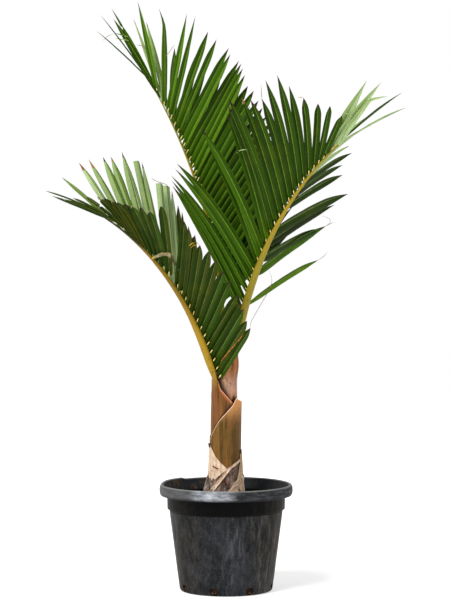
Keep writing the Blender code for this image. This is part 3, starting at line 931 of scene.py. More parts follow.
def trunk_ring(height):
    ring = []
    for turn in STEM_TURNS:
        around = Vector((math.cos(turn), math.sin(turn), 0))
        scar = abs(math.sin(math.pi * height / SCAR_SPACING + noise.noise(around * 2))) ** 8
        crack = max(0.0, noise.noise(around * 11 + UP * height * 9)) ** 2
        radius = along(TRUNK_RADIUS, height) - SCAR_DEPTH * scar - CRACK_DEPTH * crack - TRUNK_INSET
        ring.append(stem_point(height, radius, turn))
    return ring


def make_stem(finish):
    shape = bmesh.new()
    sweep(shape, [trunk_ring(TRUNK_FOOT + (TRUNK_TOP - TRUNK_FOOT) * level / TRUNK_LEVELS)
                  for level in range(TRUNK_LEVELS + 1)])
    outward(shape)
    new_piece("stem_core", shape, [finish], ["trunk"])


make_stem(sheath_finish("stem_skin", srgb(60, 38, 24), srgb(120, 84, 54), srgb(96, 74, 54)))

# %% [markdown]
# ## The dead sheath round the foot
# The oldest leaf base has dried to paper: papery and pale, with soft stains and a few long dark creases.
# One finish, in four colours, serves its paper, its straw, the bark-like layer below and its dark knobs.

# %% Dead leaf finish
CREASE = srgb(96, 62, 42)
SPECK = srgb(84, 52, 36)


def dry_finish(name, dark, light, stain, amount, cracks=0.3):
    finish = Finish(name, 0.85, Specular_IOR_Level=0.15)
    grain = finish.grain((120, 120, 20), 4, 0.6)
    crease = finish.grain((26, 26, 22), 4, 0.6)
    thin = crease.ramp(0.49, 0.502) * (1 - crease.ramp(0.51, 0.525))
    blot = finish.speckle(finish.place(), 42, 4, 0.6).ramp(0.5, 0.7)
    specks = finish.speckle(finish.place(), 260, 2, 0.5).ramp(0.66, 0.72)
    colour = finish.mix(grain.ramp(0.34, 0.66), dark, light)
    colour = finish.mix(blot * amount, colour, stain)
    colour = finish.mix(thin * cracks, colour, CREASE)
    finish.colour(finish.mix(specks * 0.6, colour, SPECK))
    finish.roughness(0.75 + grain * 0.2)
    finish.bump(grain + (1 - thin) * 0.3, 0.001, 0.45)
    return finish


paper = dry_finish("dead_paper", srgb(196, 164, 134), srgb(232, 210, 184), srgb(206, 166, 138), 0.5)
straw = dry_finish("dead_straw", srgb(172, 138, 96), srgb(230, 206, 164), srgb(160, 122, 84), 0.5)
bark = dry_finish("dead_bark", srgb(32, 20, 14), srgb(144, 122, 108), srgb(206, 190, 178), 0.8, 0.95)
knob = dry_finish("dead_knob", srgb(52, 32, 26), srgb(96, 64, 52), srgb(70, 46, 38), 0.5)
DRY_FINISHES = [paper, straw, bark, knob]
PAPER, STRAW, BARK, KNOB = range(len(DRY_FINISHES))
print("dead leaf finishes:", len(DRY_FINISHES))

# %% [markdown]
# A fibrous brown layer lies under the paper, with ragged tongues at its top. It is a tube again, swept like
# the sheaths, and stands for the packed dry sheath.

# %% Fibrous layer
DRY_RADIUS = [(0.232, 0.064), (0.267, 0.059), (0.304, 0.0485), (0.346, 0.0442), (0.39, 0.0425)]
# Its top, and its share of that radius, by degrees round the stem
DRY_TOPS = [(-180, 0.3), (-100, 0.302), (-75, 0.325), (-25, 0.344), (0, 0.325), (60, 0.3), (180, 0.3)]
DRY_SIDES = [(-180, 0.98), (-120, 0.95), (-60, 0.86), (0, 0.84), (90, 0.94), (180, 0.98)]
DRY_FOOT = 0.2326
DRY_LEVELS = 40
DRY_LAYER = 0.0016
TONGUES = 0.012
STRANDS = 0.0024
LEAST_GIRTH = 0.043


def dry_ring(share):
    ring = []
    for turn in STEM_TURNS:
        top = around_stops(DRY_TOPS, turn)
        top += TONGUES * noise.noise(Vector((math.cos(turn) * 2.5, math.sin(turn) * 2.5, 7)))
        height = DRY_FOOT + (top - DRY_FOOT) * share
        strand = noise.noise(Vector((math.cos(turn) * 13, math.sin(turn) * 13, height * 22)))
        girth = along(DRY_RADIUS, height) * around_stops(DRY_SIDES, turn) - 0.0015 + STRANDS * strand
        ring.append(stem_point(height, max(girth, LEAST_GIRTH), turn))
    return ring


def make_fibrous_layer(finish):
    rings = [dry_ring(level / DRY_LEVELS) for level in range(DRY_LEVELS + 1)]
    inner = [thinned(ring, DRY_LAYER) for ring in rings]
    shape = bmesh.new()
    sweep(shape, rings + inner[::-1], closed=True)
    outward(shape)
    new_piece("fibrous_layer", shape, [finish], ["dry_sheath"])


make_fibrous_layer(bark)

# %% [markdown]
# Over it the paper is torn into flaps that curl off the stem. A flap starts as a flat grid. Each of its
# points is laid on the stem's foot at its own height and distance across, lifted most at its edges, and
# crumpled by noise.

# %% A torn flap
FLAP_RADIUS = [(0.232, 0.06), (0.262, 0.0525), (0.288, 0.047), (0.304, 0.0448), (0.346, 0.0428),
               (0.39, 0.0416)]
FLAP_COLUMNS = 18
FLAP_ROWS = 30
FLAP_JAG = 0.004
FLAP_FRAY = 0.0012


def add_flap(shape, low, high, left, right, lift, index, seed, crumple=0.0016, facing=0.0):
    """One torn strip. Left and right are its edges in metres across the stem, by height, before it is
    turned. Lift is how far it stands off, from its foot to its top."""
    grid = bmesh.ops.create_grid(shape, x_segments=FLAP_COLUMNS, y_segments=FLAP_ROWS, size=0.5)["verts"]
    for corner in grid:
        across_share = corner.co.x + 0.5
        up_share = corner.co.y + 0.5
        jag = FLAP_JAG * noise.noise(Vector((across_share * 7, seed, 3.1)))
        height = low + (high - low) * up_share + jag * up_share ** 4
        fray = FLAP_FRAY * noise.noise(Vector((height * 260, seed, across_share * 2)))
        across = along(left, height) * (1 - across_share) + along(right, height) * across_share + fray
        girth = along(FLAP_RADIUS, height)
        across = max(-0.995 * girth, min(0.995 * girth, across))
        turn = -math.acos(across / girth)
        edge = abs(2 * across_share - 1)
        rise = along(lift, up_share) * (0.35 + 0.65 * edge ** 2)
        rough = noise.noise(Vector((across * 95, height * 60, seed)))
        fold = noise.noise(Vector((across * 240, height * 25, seed + 9)))
        radius = girth + rise + crumple * (0.65 * rough + 0.35 * fold)
        corner.co = stem_point(height, radius, turn + facing)
    for face in {face for corner in grid for face in corner.link_faces}:
        face.material_index = index


print("a flap has", FLAP_COLUMNS * FLAP_ROWS, "faces")

# %% [markdown]
# The front flaps are set one by one, as the photo shows them. A loop sets six more where it can't see, at
# the sides and the back. At last a Solidify modifier makes them all as thick as strong paper.

# %% Flaps
DRY_WALL = 0.0009
# Each: lowest and highest height, left and right edges, lift, finish, seed, and for some how crumpled it is
FRONT_FLAPS = [
    # The big flap at the left, from its dark knob down to a point, its knob, and its crease
    (0.288, 0.386, [(0.288, -0.0385), (0.312, -0.0455), (0.386, -0.0445)],
     [(0.288, -0.037), (0.325, 0.006), (0.341, -0.0113), (0.356, -0.0245), (0.376, -0.035),
      (0.386, -0.0385)],
     [(0, 0.001), (0.4, 0.0014), (1, 0.002)], PAPER, 1),
    (0.379, 0.389, [(0.379, -0.044), (0.389, -0.0425)], [(0.379, -0.0375), (0.389, -0.0385)],
     [(0, 0.0028), (1, 0.0042)], KNOB, 11),
    (0.3245, 0.3315, [(0.3245, -0.019), (0.3315, -0.033)], [(0.3245, -0.014), (0.3315, -0.03)],
     [(0, 0.0022), (1, 0.0022)], KNOB, 13, 0.0004),
    # The straight band across it
    (0.258, 0.349, [(0.258, -0.044), (0.325, 0.005), (0.349, 0.0375)],
     [(0.258, -0.0325), (0.325, 0.013), (0.342, 0.0345), (0.349, 0.041)],
     [(0, 0.006), (0.5, 0.0045), (1, 0.003)], PAPER, 2, 0.0006),
    # The upright strip at the right, with a dark knob
    (0.286, 0.366, [(0.286, 0.03), (0.31, 0.0345), (0.335, 0.0375), (0.366, 0.0395)],
     [(0.286, 0.0465), (0.31, 0.0465), (0.345, 0.045), (0.366, 0.0425)],
     [(0, 0.0025), (0.6, 0.003), (1, 0.0022)], STRAW, 3),
    (0.362, 0.374, [(0.362, 0.0385), (0.374, 0.039)], [(0.362, 0.0425), (0.374, 0.04)],
     [(0, 0.002), (1, 0.003)], KNOB, 12),
    # The curled pieces at the lower right
    (0.27, 0.306, [(0.27, 0.013), (0.285, 0.022), (0.306, 0.0385)],
     [(0.27, 0.048), (0.29, 0.0478), (0.306, 0.0465)],
     [(0, 0.0015), (0.5, 0.004), (1, 0.0065)], PAPER, 4, 0.0018),
    (0.236, 0.282, [(0.236, -0.006), (0.262, 0.003), (0.282, 0.029)],
     [(0.236, 0.05), (0.282, 0.0485)], [(0, 0.0015), (1, 0.004)], PAPER, 5, 0.002),
    # Brown strips that flare out at the lower left, and a torn pale scrap between them
    (0.234, 0.292, [(0.234, -0.061), (0.26, -0.056), (0.292, -0.0455)],
     [(0.234, -0.048), (0.26, -0.0465), (0.292, -0.043)], [(0, 0.004), (1, 0.0015)], BARK, 6, 0.0022),
    (0.236, 0.284, [(0.236, -0.048), (0.284, -0.04)], [(0.236, -0.035), (0.284, -0.03)],
     [(0, 0.0035), (1, 0.001)], BARK, 7, 0.0018),
    (0.234, 0.268, [(0.234, -0.062), (0.268, -0.053)], [(0.234, -0.048), (0.268, -0.05)],
     [(0, 0.006), (1, 0.004)], PAPER, 8),
]
# Each: degrees round the stem, its top, and its finish
FAR_FLAPS = [(105, 0.352, PAPER), (150, 0.372, STRAW), (195, 0.33, PAPER), (235, 0.345, STRAW),
             (75, 0.318, BARK), (265, 0.31, BARK)]


def face_off_stem(shape):
    """Turn each face of the open flaps away from the stem."""
    shape.normal_update()
    for face in shape.faces:
        centre = face.calc_center_median()
        if face.normal.dot(centre - stem_point(centre.z, 0, 0)) < 0:
            face.normal_flip()


def make_flaps():
    shape = bmesh.new()
    for flap in FRONT_FLAPS:
        add_flap(shape, *flap)
    for i, (degrees, top, index) in enumerate(FAR_FLAPS):
        add_flap(shape, 0.236 + 0.004 * (i % 3), top, [(0.236, -0.032), (top, -0.02 + 0.003 * (i % 2))],
                 [(0.236, 0.032), (top, 0.006 + 0.004 * (i % 3))], [(0, 0.005), (0.6, 0.002), (1, 0.003)],
                 index, 20 + i, facing=math.radians(degrees))
    face_off_stem(shape)
    piece = new_piece("dead_leaf_base", shape, DRY_FINISHES)
    wall = piece.modifiers.new("wall", "SOLIDIFY")
    wall.thickness = DRY_WALL
    wall.offset = -1
    applied(piece)


make_flaps()

# %% [markdown]
# ## Three fronds
# A feather frond is a stalk that goes on as a rib with a row of narrow leaflets along each side. The plant's
# solids grew theirs by a rule from a few named values: how the rib leans and turns, and at what angle, rise
# and length the leaflets leave it. The same rule runs here with the same values, so that the fine leaflets
# have the reach of the plain ones they replace.

# %% The fronds' values
# Each frond has two rows of leaflets, one on each side of its rib. Stops are (place from foot to tip, value)
FRONDS = {
    "right_frond": {
        "foot": (0.02, -0.012, FORK), "length": 0.644, "lean": (16.4, 50.6), "bend": 1.31,
        "heading": -45, "sweep": 15.5, "crowding": 1.3,
        "half_width": [(0, 0.0125), (0.12, 0.0115), (0.22, 0.009), (0.5, 0.0066), (1, 0.0024)],
        "half_thickness": [(0, 0.01), (0.2, 0.008), (0.5, 0.0058), (1, 0.0022)],
        "rows": [
            {"side": 1, "count": 23, "first": 0.14, "seed": 11, "droop": 12, "sweep": -8,
             "angle": [(0, 27), (0.25, 43), (0.5, 41), (0.75, 41), (0.9, 38), (1, 9)],
             "rise": [(0, 35), (0.5, 40), (1, 45)],
             "length": [(0, 0.43), (0.25, 0.375), (0.5, 0.385), (0.75, 0.34), (0.9, 0.17), (1, 0.22)]},
            {"side": -1, "count": 15, "first": 0.16, "seed": 12, "droop": 18, "sweep": 12, "missing": (1, 6),
             "angle": [(0, 75), (0.25, 69), (0.5, 66), (0.75, 74), (0.9, 70), (1, 44)],
             "rise": [(0, 14), (0.5, 12), (1, 17)],
             "length": [(0, 0.25), (0.25, 0.31), (0.5, 0.32), (0.75, 0.22), (0.9, 0.19), (1, 0.25)]},
        ]},
    "left_frond": {
        "foot": (-0.029, -0.022, 0.56), "length": 0.546, "lean": (18.2, 61.0), "bend": 1.29,
        "heading": 202, "sweep": 10.6, "crowding": 1.3,
        "half_width": [(0, 0.0125), (0.15, 0.0115), (0.35, 0.0075), (0.6, 0.0058), (1, 0.0024)],
        "half_thickness": [(0, 0.006), (0.05, 0.0108), (0.13, 0.0115), (0.25, 0.01), (0.36, 0.0078),
                           (0.6, 0.0062), (1, 0.0024)],
        "rows": [
            {"side": 1, "count": 23, "first": 0.02, "seed": 21, "droop": 6, "sweep": 2,
             "angle": [(0, 44), (0.25, 42), (0.5, 46), (0.75, 41), (0.9, 30), (1, 4)],
             "rise": [(0.2, 54), (0.6, 62), (1, 64)],
             "length": [(0, 0.2), (0.25, 0.27), (0.5, 0.297), (0.75, 0.264), (0.9, 0.19), (1, 0.16)]},
            {"side": -1, "count": 23, "first": 0.02, "seed": 22, "droop": 14, "sweep": 10,
             "angle": [(0, 58), (0.25, 54), (0.5, 46), (0.75, 28), (0.9, 14), (1, 7)],
             "rise": [(0, 30), (0.5, 25), (0.88, 12), (1, -60)],
             "length": [(0, 0.2), (0.25, 0.202), (0.5, 0.218), (0.75, 0.192), (0.9, 0.175), (1, 0.205)]},
        ]},
    "tall_frond": {
        "foot": (-0.012, 0.01, FORK), "length": 0.779, "lean": (-6.3, 33.4), "bend": 0.74,
        "heading": 165, "sweep": -10, "crowding": 1.0,
        "half_width": [(0, 0.01), (0.2, 0.008), (0.5, 0.006), (1, 0.0022)],
        "half_thickness": [(0, 0.009), (0.2, 0.0072), (0.5, 0.0055), (1, 0.002)],
        "rows": [
            {"side": 1, "count": 25, "first": 0.16, "seed": 31, "droop": 9, "sweep": 3,
             "angle": [(0, 50), (0.25, 50), (0.5, 50), (0.75, 44), (0.9, 21), (1, 15)],
             "rise": [(0.5, 62), (0.85, 45), (1, -60)],
             "length": [(0, 0.27), (0.25, 0.32), (0.5, 0.335), (0.75, 0.295), (0.9, 0.22), (1, 0.22)]},
            {"side": -1, "count": 25, "first": 0.16, "seed": 32, "droop": 9, "sweep": 5,
             "angle": [(0, 46), (0.25, 47), (0.5, 50), (0.75, 60), (0.86, 53), (0.92, 31), (1, 2)],
             "rise": [(0.5, 76), (1, 70)],
             "length": [(0, 0.27), (0.25, 0.33), (0.5, 0.352), (0.75, 0.306), (0.9, 0.24), (1, 0.2)]},
        ]},
}
TALL_NEAR = ("tall_frond", -1)
TALL_FAR = ("tall_frond", 1)
RIGHT_INNER = ("right_frond", 1)
RIGHT_OUTER = ("right_frond", -1)
LEFT_NEAR = ("left_frond", -1)
LEFT_FAR = ("left_frond", 1)
print("leaflets by rule:", sum(row["count"] for frond in FRONDS.values() for row in frond["rows"]))

# %% [markdown]
# The rib's rule gives a point and three directions at even steps: on along the rib, up out of its upper
# face, and to its right side. Between two steps they are blended.

# %% The rib's rule
RULE_STEPS = 24


def rib_frames(frond):
    frames = []
    point = Vector(frond["foot"])
    last = None
    for i in range(RULE_STEPS + 1):
        share = i / RULE_STEPS
        low, high = frond["lean"]
        lean = math.radians(low + (high - low) * share ** frond["bend"])
        heading = math.radians(frond["heading"] + frond["sweep"] * share)
        out = Vector((math.cos(heading), math.sin(heading), 0))
        direction = out * math.sin(lean) + UP * math.cos(lean)
        upper = UP * math.sin(lean) - out * math.cos(lean)
        if last is not None:
            point = point + (last + direction).normalized() * frond["length"] / RULE_STEPS
        frames.append((point, direction, upper, direction.cross(upper)))
        last = direction
    return frames


def frame_at(frames, place):
    step = max(0, min(int(place * RULE_STEPS), RULE_STEPS - 1))
    share = place * RULE_STEPS - step
    point = frames[step][0].lerp(frames[step + 1][0], share)
    axes = [frames[step][i].lerp(frames[step + 1][i], share).normalized() for i in (1, 2, 3)]
    return point, *axes


ribs = {name: rib_frames(frond) for name, frond in FRONDS.items()}
for name, frames in ribs.items():
    print(f"{name} tip at", [round(part, 3) for part in frames[-1][0]])

# %% [markdown]
# The photo shows two rows closer set than the plain blades of the solids, and gaps in three rows where
# leaflets are lost. Those rows get their own values here.

# %% Places of the leaflets
LAST_PLACE = 0.985
FINER = {TALL_NEAR: {"count": 32, "missing": (28, 31)},
         LEFT_NEAR: {"count": 30, "first": -0.03, "missing": (13, 23, 25, 28)},
         LEFT_FAR: {"missing": (18, 20)}}
for name, frond in FRONDS.items():
    for row in frond["rows"]:
        row.update(FINER.get((name, row["side"]), {}))


def leaflet_places(row, crowding):
    shares = [(i + 0.5) / row["count"] for i in range(row["count"])]
    return [row["first"] + (LAST_PLACE - row["first"]) * (1 - (1 - share) ** crowding) for share in shares]


print("leaflet places:", sum(row["count"] for frond in FRONDS.values() for row in frond["rows"]))

# %% [markdown]
# The rib is an oval stalk, thick and broad where it leaves its sheath, and flatter above than below. Under
# its foot it goes on as the thick middle of the leaf base, hugging the stem and thinning until it sinks into
# the sheath. So the sweep of rings starts well below the fork.

# %% A rib's rings
RIB_SIDES = 20
UPPER_FLATNESS = 0.78
ROOT_STEPS = 9
ROOT_SINK = 0.003


def rib_ring(point, upper, side, half_width, half_thickness):
    ring = []
    for i in range(RIB_SIDES):
        turn = 2 * math.pi * i / RIB_SIDES
        up = math.sin(turn)
        flat = UPPER_FLATNESS if up > 0 else 1.0
        ring.append(point + side * half_width * math.cos(turn) + upper * half_thickness * up * flat)
    return ring


def root_rings(frond, frames, radii, depth, spread):
    """Rings under a rib's foot that follow the stem down and flatten into its sheath."""
    point, _, upper, side = frames[0]
    axis = stem_point(point.z, 0, 0)
    turn = math.atan2(point.y - axis.y, point.x - axis.x)
    reach = math.hypot(point.x - axis.x, point.y - axis.y)
    aside = UP.cross(Vector((math.cos(turn), math.sin(turn), 0)))
    half_thickness = frond["half_thickness"][0][1]
    rings = []
    for step in range(ROOT_STEPS, 0, -1):
        share = step / ROOT_STEPS
        height = point.z - depth * share
        seat = softly(radii, height, 0.012)
        centre = stem_point(height, reach, turn)
        half_width = frond["half_width"][0][1] * (1 + spread * share)
        proud = half_thickness * (1 - ease(0.05, 0.85, share)) - ROOT_SINK * ease(0.45, 0.9, share)
        hug = ease(0, 0.45, share)
        ring = []
        for free in rib_ring(centre, upper, side, half_width, half_thickness):
            offset = free - centre
            thick = -offset.dot(upper) / half_thickness
            radius = seat + min(proud, proud * thick) if thick > 0 else seat - ROOT_SINK
            ring.append(free.lerp(stem_point(height, radius, turn + offset.dot(aside) / seat), hug))
        rings.append(ring)
    return rings


print("a rib's root has", ROOT_STEPS, "rings of", RIB_SIDES, "points")

# %% [markdown]
# Each rib gets its rings from the rule, a little uneven, and slimmer or stouter along its way than the
# packed one where the photo shows it so. Its skin is that of its leaf base.

# %% Ribs
RIB_STEPS = 72
RIB_SLIM = {"right_frond": [(0, 1.0), (0.12, 1.25), (0.35, 1.3), (0.6, 1.05), (1, 0.9)],
            "left_frond": [(0, 0.85), (0.1, 0.94), (1, 0.9)],
            "tall_frond": [(0, 1.0), (0.3, 0.96), (0.6, 0.76), (1, 0.55)]}
# Each: the radii of the sheath it sinks into, how deep it goes, and how much broader it gets on the way
RIB_ROOTS = {"right_frond": (INNER_RADIUS, 0.11, 0.55), "left_frond": (LEFT_RADIUS, 0.12, 1.0),
             "tall_frond": (INNER_RADIUS, 0.06, 0.6)}


def make_rib(name, finish):
    frond = FRONDS[name]
    rings = root_rings(frond, ribs[name], *RIB_ROOTS[name])
    for i in range(RIB_STEPS + 1):
        place = i / RIB_STEPS
        point, _, upper, side = frame_at(ribs[name], place)
        rough = (1 + 0.04 * noise.noise(point * 60)) * along(RIB_SLIM[name], place)
        rings.append(rib_ring(point, upper, side, softly(frond["half_width"], place, 0.03) * rough,
                              softly(frond["half_thickness"], place, 0.03) * rough))
    shape = bmesh.new()
    sweep(shape, rings)
    # A rib is far from any margin
    store_distances(shape, lambda spot: (1, 1))
    outward(shape)
    new_piece(name + "_rib", shape, [finish])


make_rib("right_frond", right_skin("olive_stalk"))
make_rib("left_frond", left_skin("orange_stalk"))
make_rib("tall_frond", right_skin("yellow_stalk"))

# %% [markdown]
# ## Leaflets
# A palm leaflet is a long blade, folded along its midrib like a roof and drawn out to a thread. First comes
# its middle line. It leaves the rib at the row's angle and rise, with a little random play, sags under its
# own weight, and may be kinked where it was once bent.

# %% A leaflet's middle line
BLADE_ROWS = 22
ANGLE_PLAY = 2.0
RISE_PLAY = 3.0
LENGTH_PLAY = 0.03
DROOP_POWER = 1.5
KINK_LENGTH = 0.12


def leaflet_line(frames, row, place, play, way):
    """Points and courses along a leaflet from the rib's centre, and the way that its upper face looks."""
    point, direction, upper, side = frame_at(frames, place)
    point = point + upper * way["lift"]
    angle = math.radians(along(row["angle"], place) + ANGLE_PLAY * play[0] + way["angle"])
    rise = math.radians(along(row["rise"], place) + RISE_PLAY * play[1] + way["rise"])
    length = along(row["length"], place) * (1 + LENGTH_PLAY * play[2]) * way["reach"]
    side = side * row["side"]
    out = side * math.cos(rise) + upper * math.sin(rise)
    face = upper * math.cos(rise) - side * math.sin(rise)
    start = direction * math.cos(angle) + out * math.sin(angle)
    kink_at, kink = way["kink"]
    line = [(point, start)]
    for i in range(BLADE_ROWS):
        share = (i + 0.5) / BLADE_ROWS
        pull = -UP * math.tan(math.radians(row["droop"])) * share ** DROOP_POWER
        pull += direction * math.tan(math.radians(row["sweep"])) * share
        course = (start + pull).normalized()
        if share > kink_at:
            bent = math.radians(kink) * ease(kink_at, kink_at + KINK_LENGTH, share)
            course = Matrix.Rotation(bent, 3, face) @ course
        point = point + course * length / BLADE_ROWS
        line.append((point, course))
    return line, direction, face


print("a middle line has", BLADE_ROWS + 1, "points")

# %% [markdown]
# Where a leaflet's tip can be told apart in the photo, the line is aimed at it. Angle, rise and reach are
# each nudged a little to see how far the tip moves in the picture. Then all three change together, by the
# least amount that closes most of the gap, a few times over.

# %% Aiming a leaflet at its tip
# How freely each may change, in degrees and as a share of the length
AIM_SIZES = {"angle": 10, "rise": 5, "reach": 0.12}
AIM_ROUNDS = 8
AIM_NUDGE = 0.05
AIM_SOFTNESS = 200
MOST_RISE = 20
LEAST_REACH = 0.7
MOST_REACH = 1.25


def aimed(frames, row, place, play, way, tip):
    """The same way, with the angle, rise and reach that end the leaflet at the photo's pixel."""
    last = round(BLADE_ROWS * way["blunt"])

    def end(changed):
        return on_photo(leaflet_line(frames, row, place, play, {**way, **changed})[0][last][0])

    found = {key: way[key] for key in AIM_SIZES}
    for _ in range(AIM_ROUNDS):
        here = end(found)
        miss = Vector(tip) - here
        moves = {}
        for key, size in AIM_SIZES.items():
            nudged = {**found, key: found[key] + AIM_NUDGE * size}
            moves[key] = (end(nudged) - here) / AIM_NUDGE
        xx = sum(move.x * move.x for move in moves.values())
        xy = sum(move.x * move.y for move in moves.values())
        yy = sum(move.y * move.y for move in moves.values())
        area = xx * yy - xy * xy + AIM_SOFTNESS
        pull = Vector((yy * miss.x - xy * miss.y, xx * miss.y - xy * miss.x)) / area
        for key, size in AIM_SIZES.items():
            found[key] += size * moves[key].dot(pull)
        found["rise"] = max(way["rise"] - MOST_RISE, min(way["rise"] + MOST_RISE, found["rise"]))
        found["reach"] = max(LEAST_REACH, min(MOST_REACH, found["reach"]))
    return {**way, **found}


print("a leaflet may be", round((MOST_REACH - 1) * 100), "percent longer than its rule says")

# %% [markdown]
# The blade is a grid, one of its columns narrow for the midrib. Each of its rows is laid across the line, as
# wide and as steeply folded as a real leaflet is there, and turned a little further than the one before.

# %% A blade's cross lines
BLADE_WIDTH = [(0, 0.0124), (0.3, 0.0134), (0.8, 0.0118), (0.92, 0.0086), (1, 0.006)]
ROOT_OUTLINE = [(0, 0.34), (0.02, 0.66), (0.04, 0.92), (0.07, 1.0)]
LEAST_WIDTH = 0.02
FRONT = Vector((0, -1, 0))


def outline(share, taper, root):
    """A blade's width along it: quickly wide above its foot, then narrower from where its taper starts."""
    start, power = taper
    tip = 1 if share < start else 1 - ((share - start) / (1 - start)) ** power
    return max(LEAST_WIDTH, along(ROOT_OUTLINE, share / root) * tip)


def across_line(line, share, rib_direction, face, twist, facing):
    """The line's point at a share of its length, with the blade's right and its upper face there."""
    whole = min(int(share * BLADE_ROWS), BLADE_ROWS - 1)
    part = share * BLADE_ROWS - whole
    point = line[whole][0].lerp(line[whole + 1][0], part)
    course = line[whole][1].lerp(line[whole + 1][1], part).normalized()
    across = (rib_direction - course * rib_direction.dot(course)).normalized()
    normal = course.cross(across)
    if normal.dot(face) < 0:
        normal = -normal
    front = (FRONT - course * course.dot(FRONT)).normalized()
    normal = normal.lerp(front if front.dot(normal) > 0 else -front, facing).normalized()
    normal = Matrix.Rotation(math.radians(twist) * share, 3, course) @ normal
    return point, course.cross(normal), normal


print("the widest blade is", round(2000 * max(width for _, width in BLADE_WIDTH), 1), "mm wide")

# %% [markdown]
# Each face of the grid then gets its finish: the midrib, the dry tip, and the two halves of the blade. The
# half that turns from the main light is a shade darker, which makes the fold easier to see.

# %% A blade
COLUMNS = (-1.0, -0.52, -0.075, 0.075, 0.52, 1.0)
ROW_CROWDING = 1.25
FOLD = [(0, 55), (0.05, 36), (0.2, 23), (0.6, 20), (0.85, 26), (1, 40)]
EDGE_DROP = 0.1
MIDRIB_RISE = 0.0005
MIDRIB_REACH = 0.1
RIPPLE = 0.0006
KEY_SIDE = Vector((-0.42, -0.57, 0.71))


def add_leaflet(shape, marks, line, rib_direction, face, width, twist, way, indices, number):
    """One open blade with its upper side outward. Marks remember the leaflet's number on each face."""
    grid = bmesh.ops.create_grid(shape, x_segments=len(COLUMNS) - 1, y_segments=BLADE_ROWS, size=0.5,
                                 calc_uvs=True)["verts"]
    for i, corner in enumerate(grid):
        step, column = divmod(i, len(COLUMNS))
        reach = COLUMNS[column]
        share = (step / BLADE_ROWS) ** ROW_CROWDING * way["blunt"]
        point, right, normal = across_line(line, share, rib_direction, face, twist, way["facing"])
        fold = math.radians(softly(FOLD, share, 0.04))
        half = width * outline(share, way["taper"], way["root"])
        ridge = half * (1 - abs(reach)) * math.sin(fold) - half * EDGE_DROP * reach * reach
        if abs(reach) < MIDRIB_REACH:
            ridge += MIDRIB_RISE * (1 - share)
        ripple = RIPPLE * noise.noise(Vector((share * 9, reach * 2, number * 3.7)))
        corner.co = point + right * half * reach * math.cos(fold) + normal * (ridge + ripple)
    leaf = shape.loops.layers.uv["leaf"]
    right_is_lit = right.dot(KEY_SIDE) > 0
    for blade in {blade for corner in grid for blade in corner.link_faces}:
        blade[marks] = number
        middle = sum((loop[leaf].uv for loop in blade.loops), Vector((0, 0))) / 4
        if middle.y ** ROW_CROWDING * way["blunt"] > way["dry_from"]:
            blade.material_index = indices["tip"]
        elif abs(middle.x - 0.5) < MIDRIB_REACH:
            blade.material_index = indices["midrib"]
        elif (middle.x > 0.5) == right_is_lit:
            blade.material_index = indices["blade"]
        else:
            blade.material_index = indices["darker"]


print("a leaflet has", BLADE_ROWS * (len(COLUMNS) - 1), "faces on its upper side")

# %% [markdown]
# ### Leaflet finishes
# The upper side is glossy, with fine darker lines along the leaf, read from the leaf's own map. Midribs,
# dry tips and threads need no lines, so a plainer finish mixes two colours for them.

# %% How leaflets are finished
def leaf_finish(name, green, roughness, vein):
    """A blade's green. Vein is how dark its lines are, as a share of the green."""
    finish = Finish(name, roughness, Specular_IOR_Level=0.06)
    leaf = finish.node("UVMap", {"uv_map": "leaf"})
    lines = finish.node("Mapping", {}, {"Vector": leaf, "Scale": (13, 1.2, 1)})
    veins = finish.speckle(lines, 1.0, 2, 0.5)
    cloud = finish.speckle(finish.place(), 17, 3, 0.5)
    dark = (green[0] * vein, green[1] * vein, green[2] * vein, 1)
    light = (min(1, green[0] * 1.35 + 0.01), min(1, green[1] * 1.25), green[2] * 1.1, 1)
    colour = finish.mix(veins.ramp(0.3, 0.62), dark, green)
    finish.colour(finish.mix(cloud.ramp(0.5, 0.72) * 0.5, colour, light))
    finish.roughness(roughness - 0.05 + cloud * 0.1)
    finish.bump(veins, 0.0003, 0.25)
    return finish


def plain_finish(name, dark, light, roughness=0.5):
    finish = Finish(name, roughness, Specular_IOR_Level=0.15)
    cloud = finish.speckle(finish.place(), 120, 3, 0.6)
    finish.colour(finish.mix(cloud.ramp(0.35, 0.65), srgb(*dark), srgb(*light)))
    finish.bump(cloud, 0.0003, 0.4)
    return finish


# %% [markdown]
# Which green a leaflet has depends on its place on the plant. Blades in the light are fresh green. Where
# leaflets lie in shade, darker greens are painted on them as shade, and the dusk green is a painted grey
# sheen. The leaflets at the ends of the left and right fronds are silver and pale.

# %% Greens and dry colours
# Each: its colour on screen, its roughness, and how dark its lines are
BLADES = {"bright": ((62, 98, 4), 0.36, 0.55), "fresh": ((86, 124, 14), 0.36, 0.55),
          "deep": ((48, 78, 2), 0.36, 0.55), "moss": ((38, 60, 2), 0.36, 0.55),
          "olive": ((62, 72, 10), 0.42, 0.55), "dusk": ((92, 104, 42), 0.45, 0.55),
          "shade": ((32, 44, 2), 0.42, 0.55), "sage": ((112, 142, 62), 0.5, 0.84),
          "silver": ((146, 170, 108), 0.5, 0.84), "pale": ((168, 192, 134), 0.5, 0.86),
          "tan": ((150, 136, 104), 0.6, 0.55), "amber": ((176, 120, 44), 0.5, 0.55)}
leaf_finishes = {tint: leaf_finish("leaf_" + tint, srgb(*colour), roughness, vein)
                 for tint, (colour, roughness, vein) in BLADES.items()}
leaf_finishes["midrib"] = plain_finish("leaf_midrib", (86, 124, 24), (116, 150, 46), 0.4)
leaf_finishes["dull_midrib"] = plain_finish("dull_midrib", (76, 94, 30), (106, 122, 48), 0.45)
leaf_finishes["tip"] = plain_finish("leaf_tip", (38, 30, 22), (70, 50, 30), 0.6)
leaf_finishes["dry_tip"] = plain_finish("dry_tip", (110, 74, 34), (160, 112, 58), 0.7)
FINISH_NUMBER = {name: number for number, name in enumerate(leaf_finishes)}
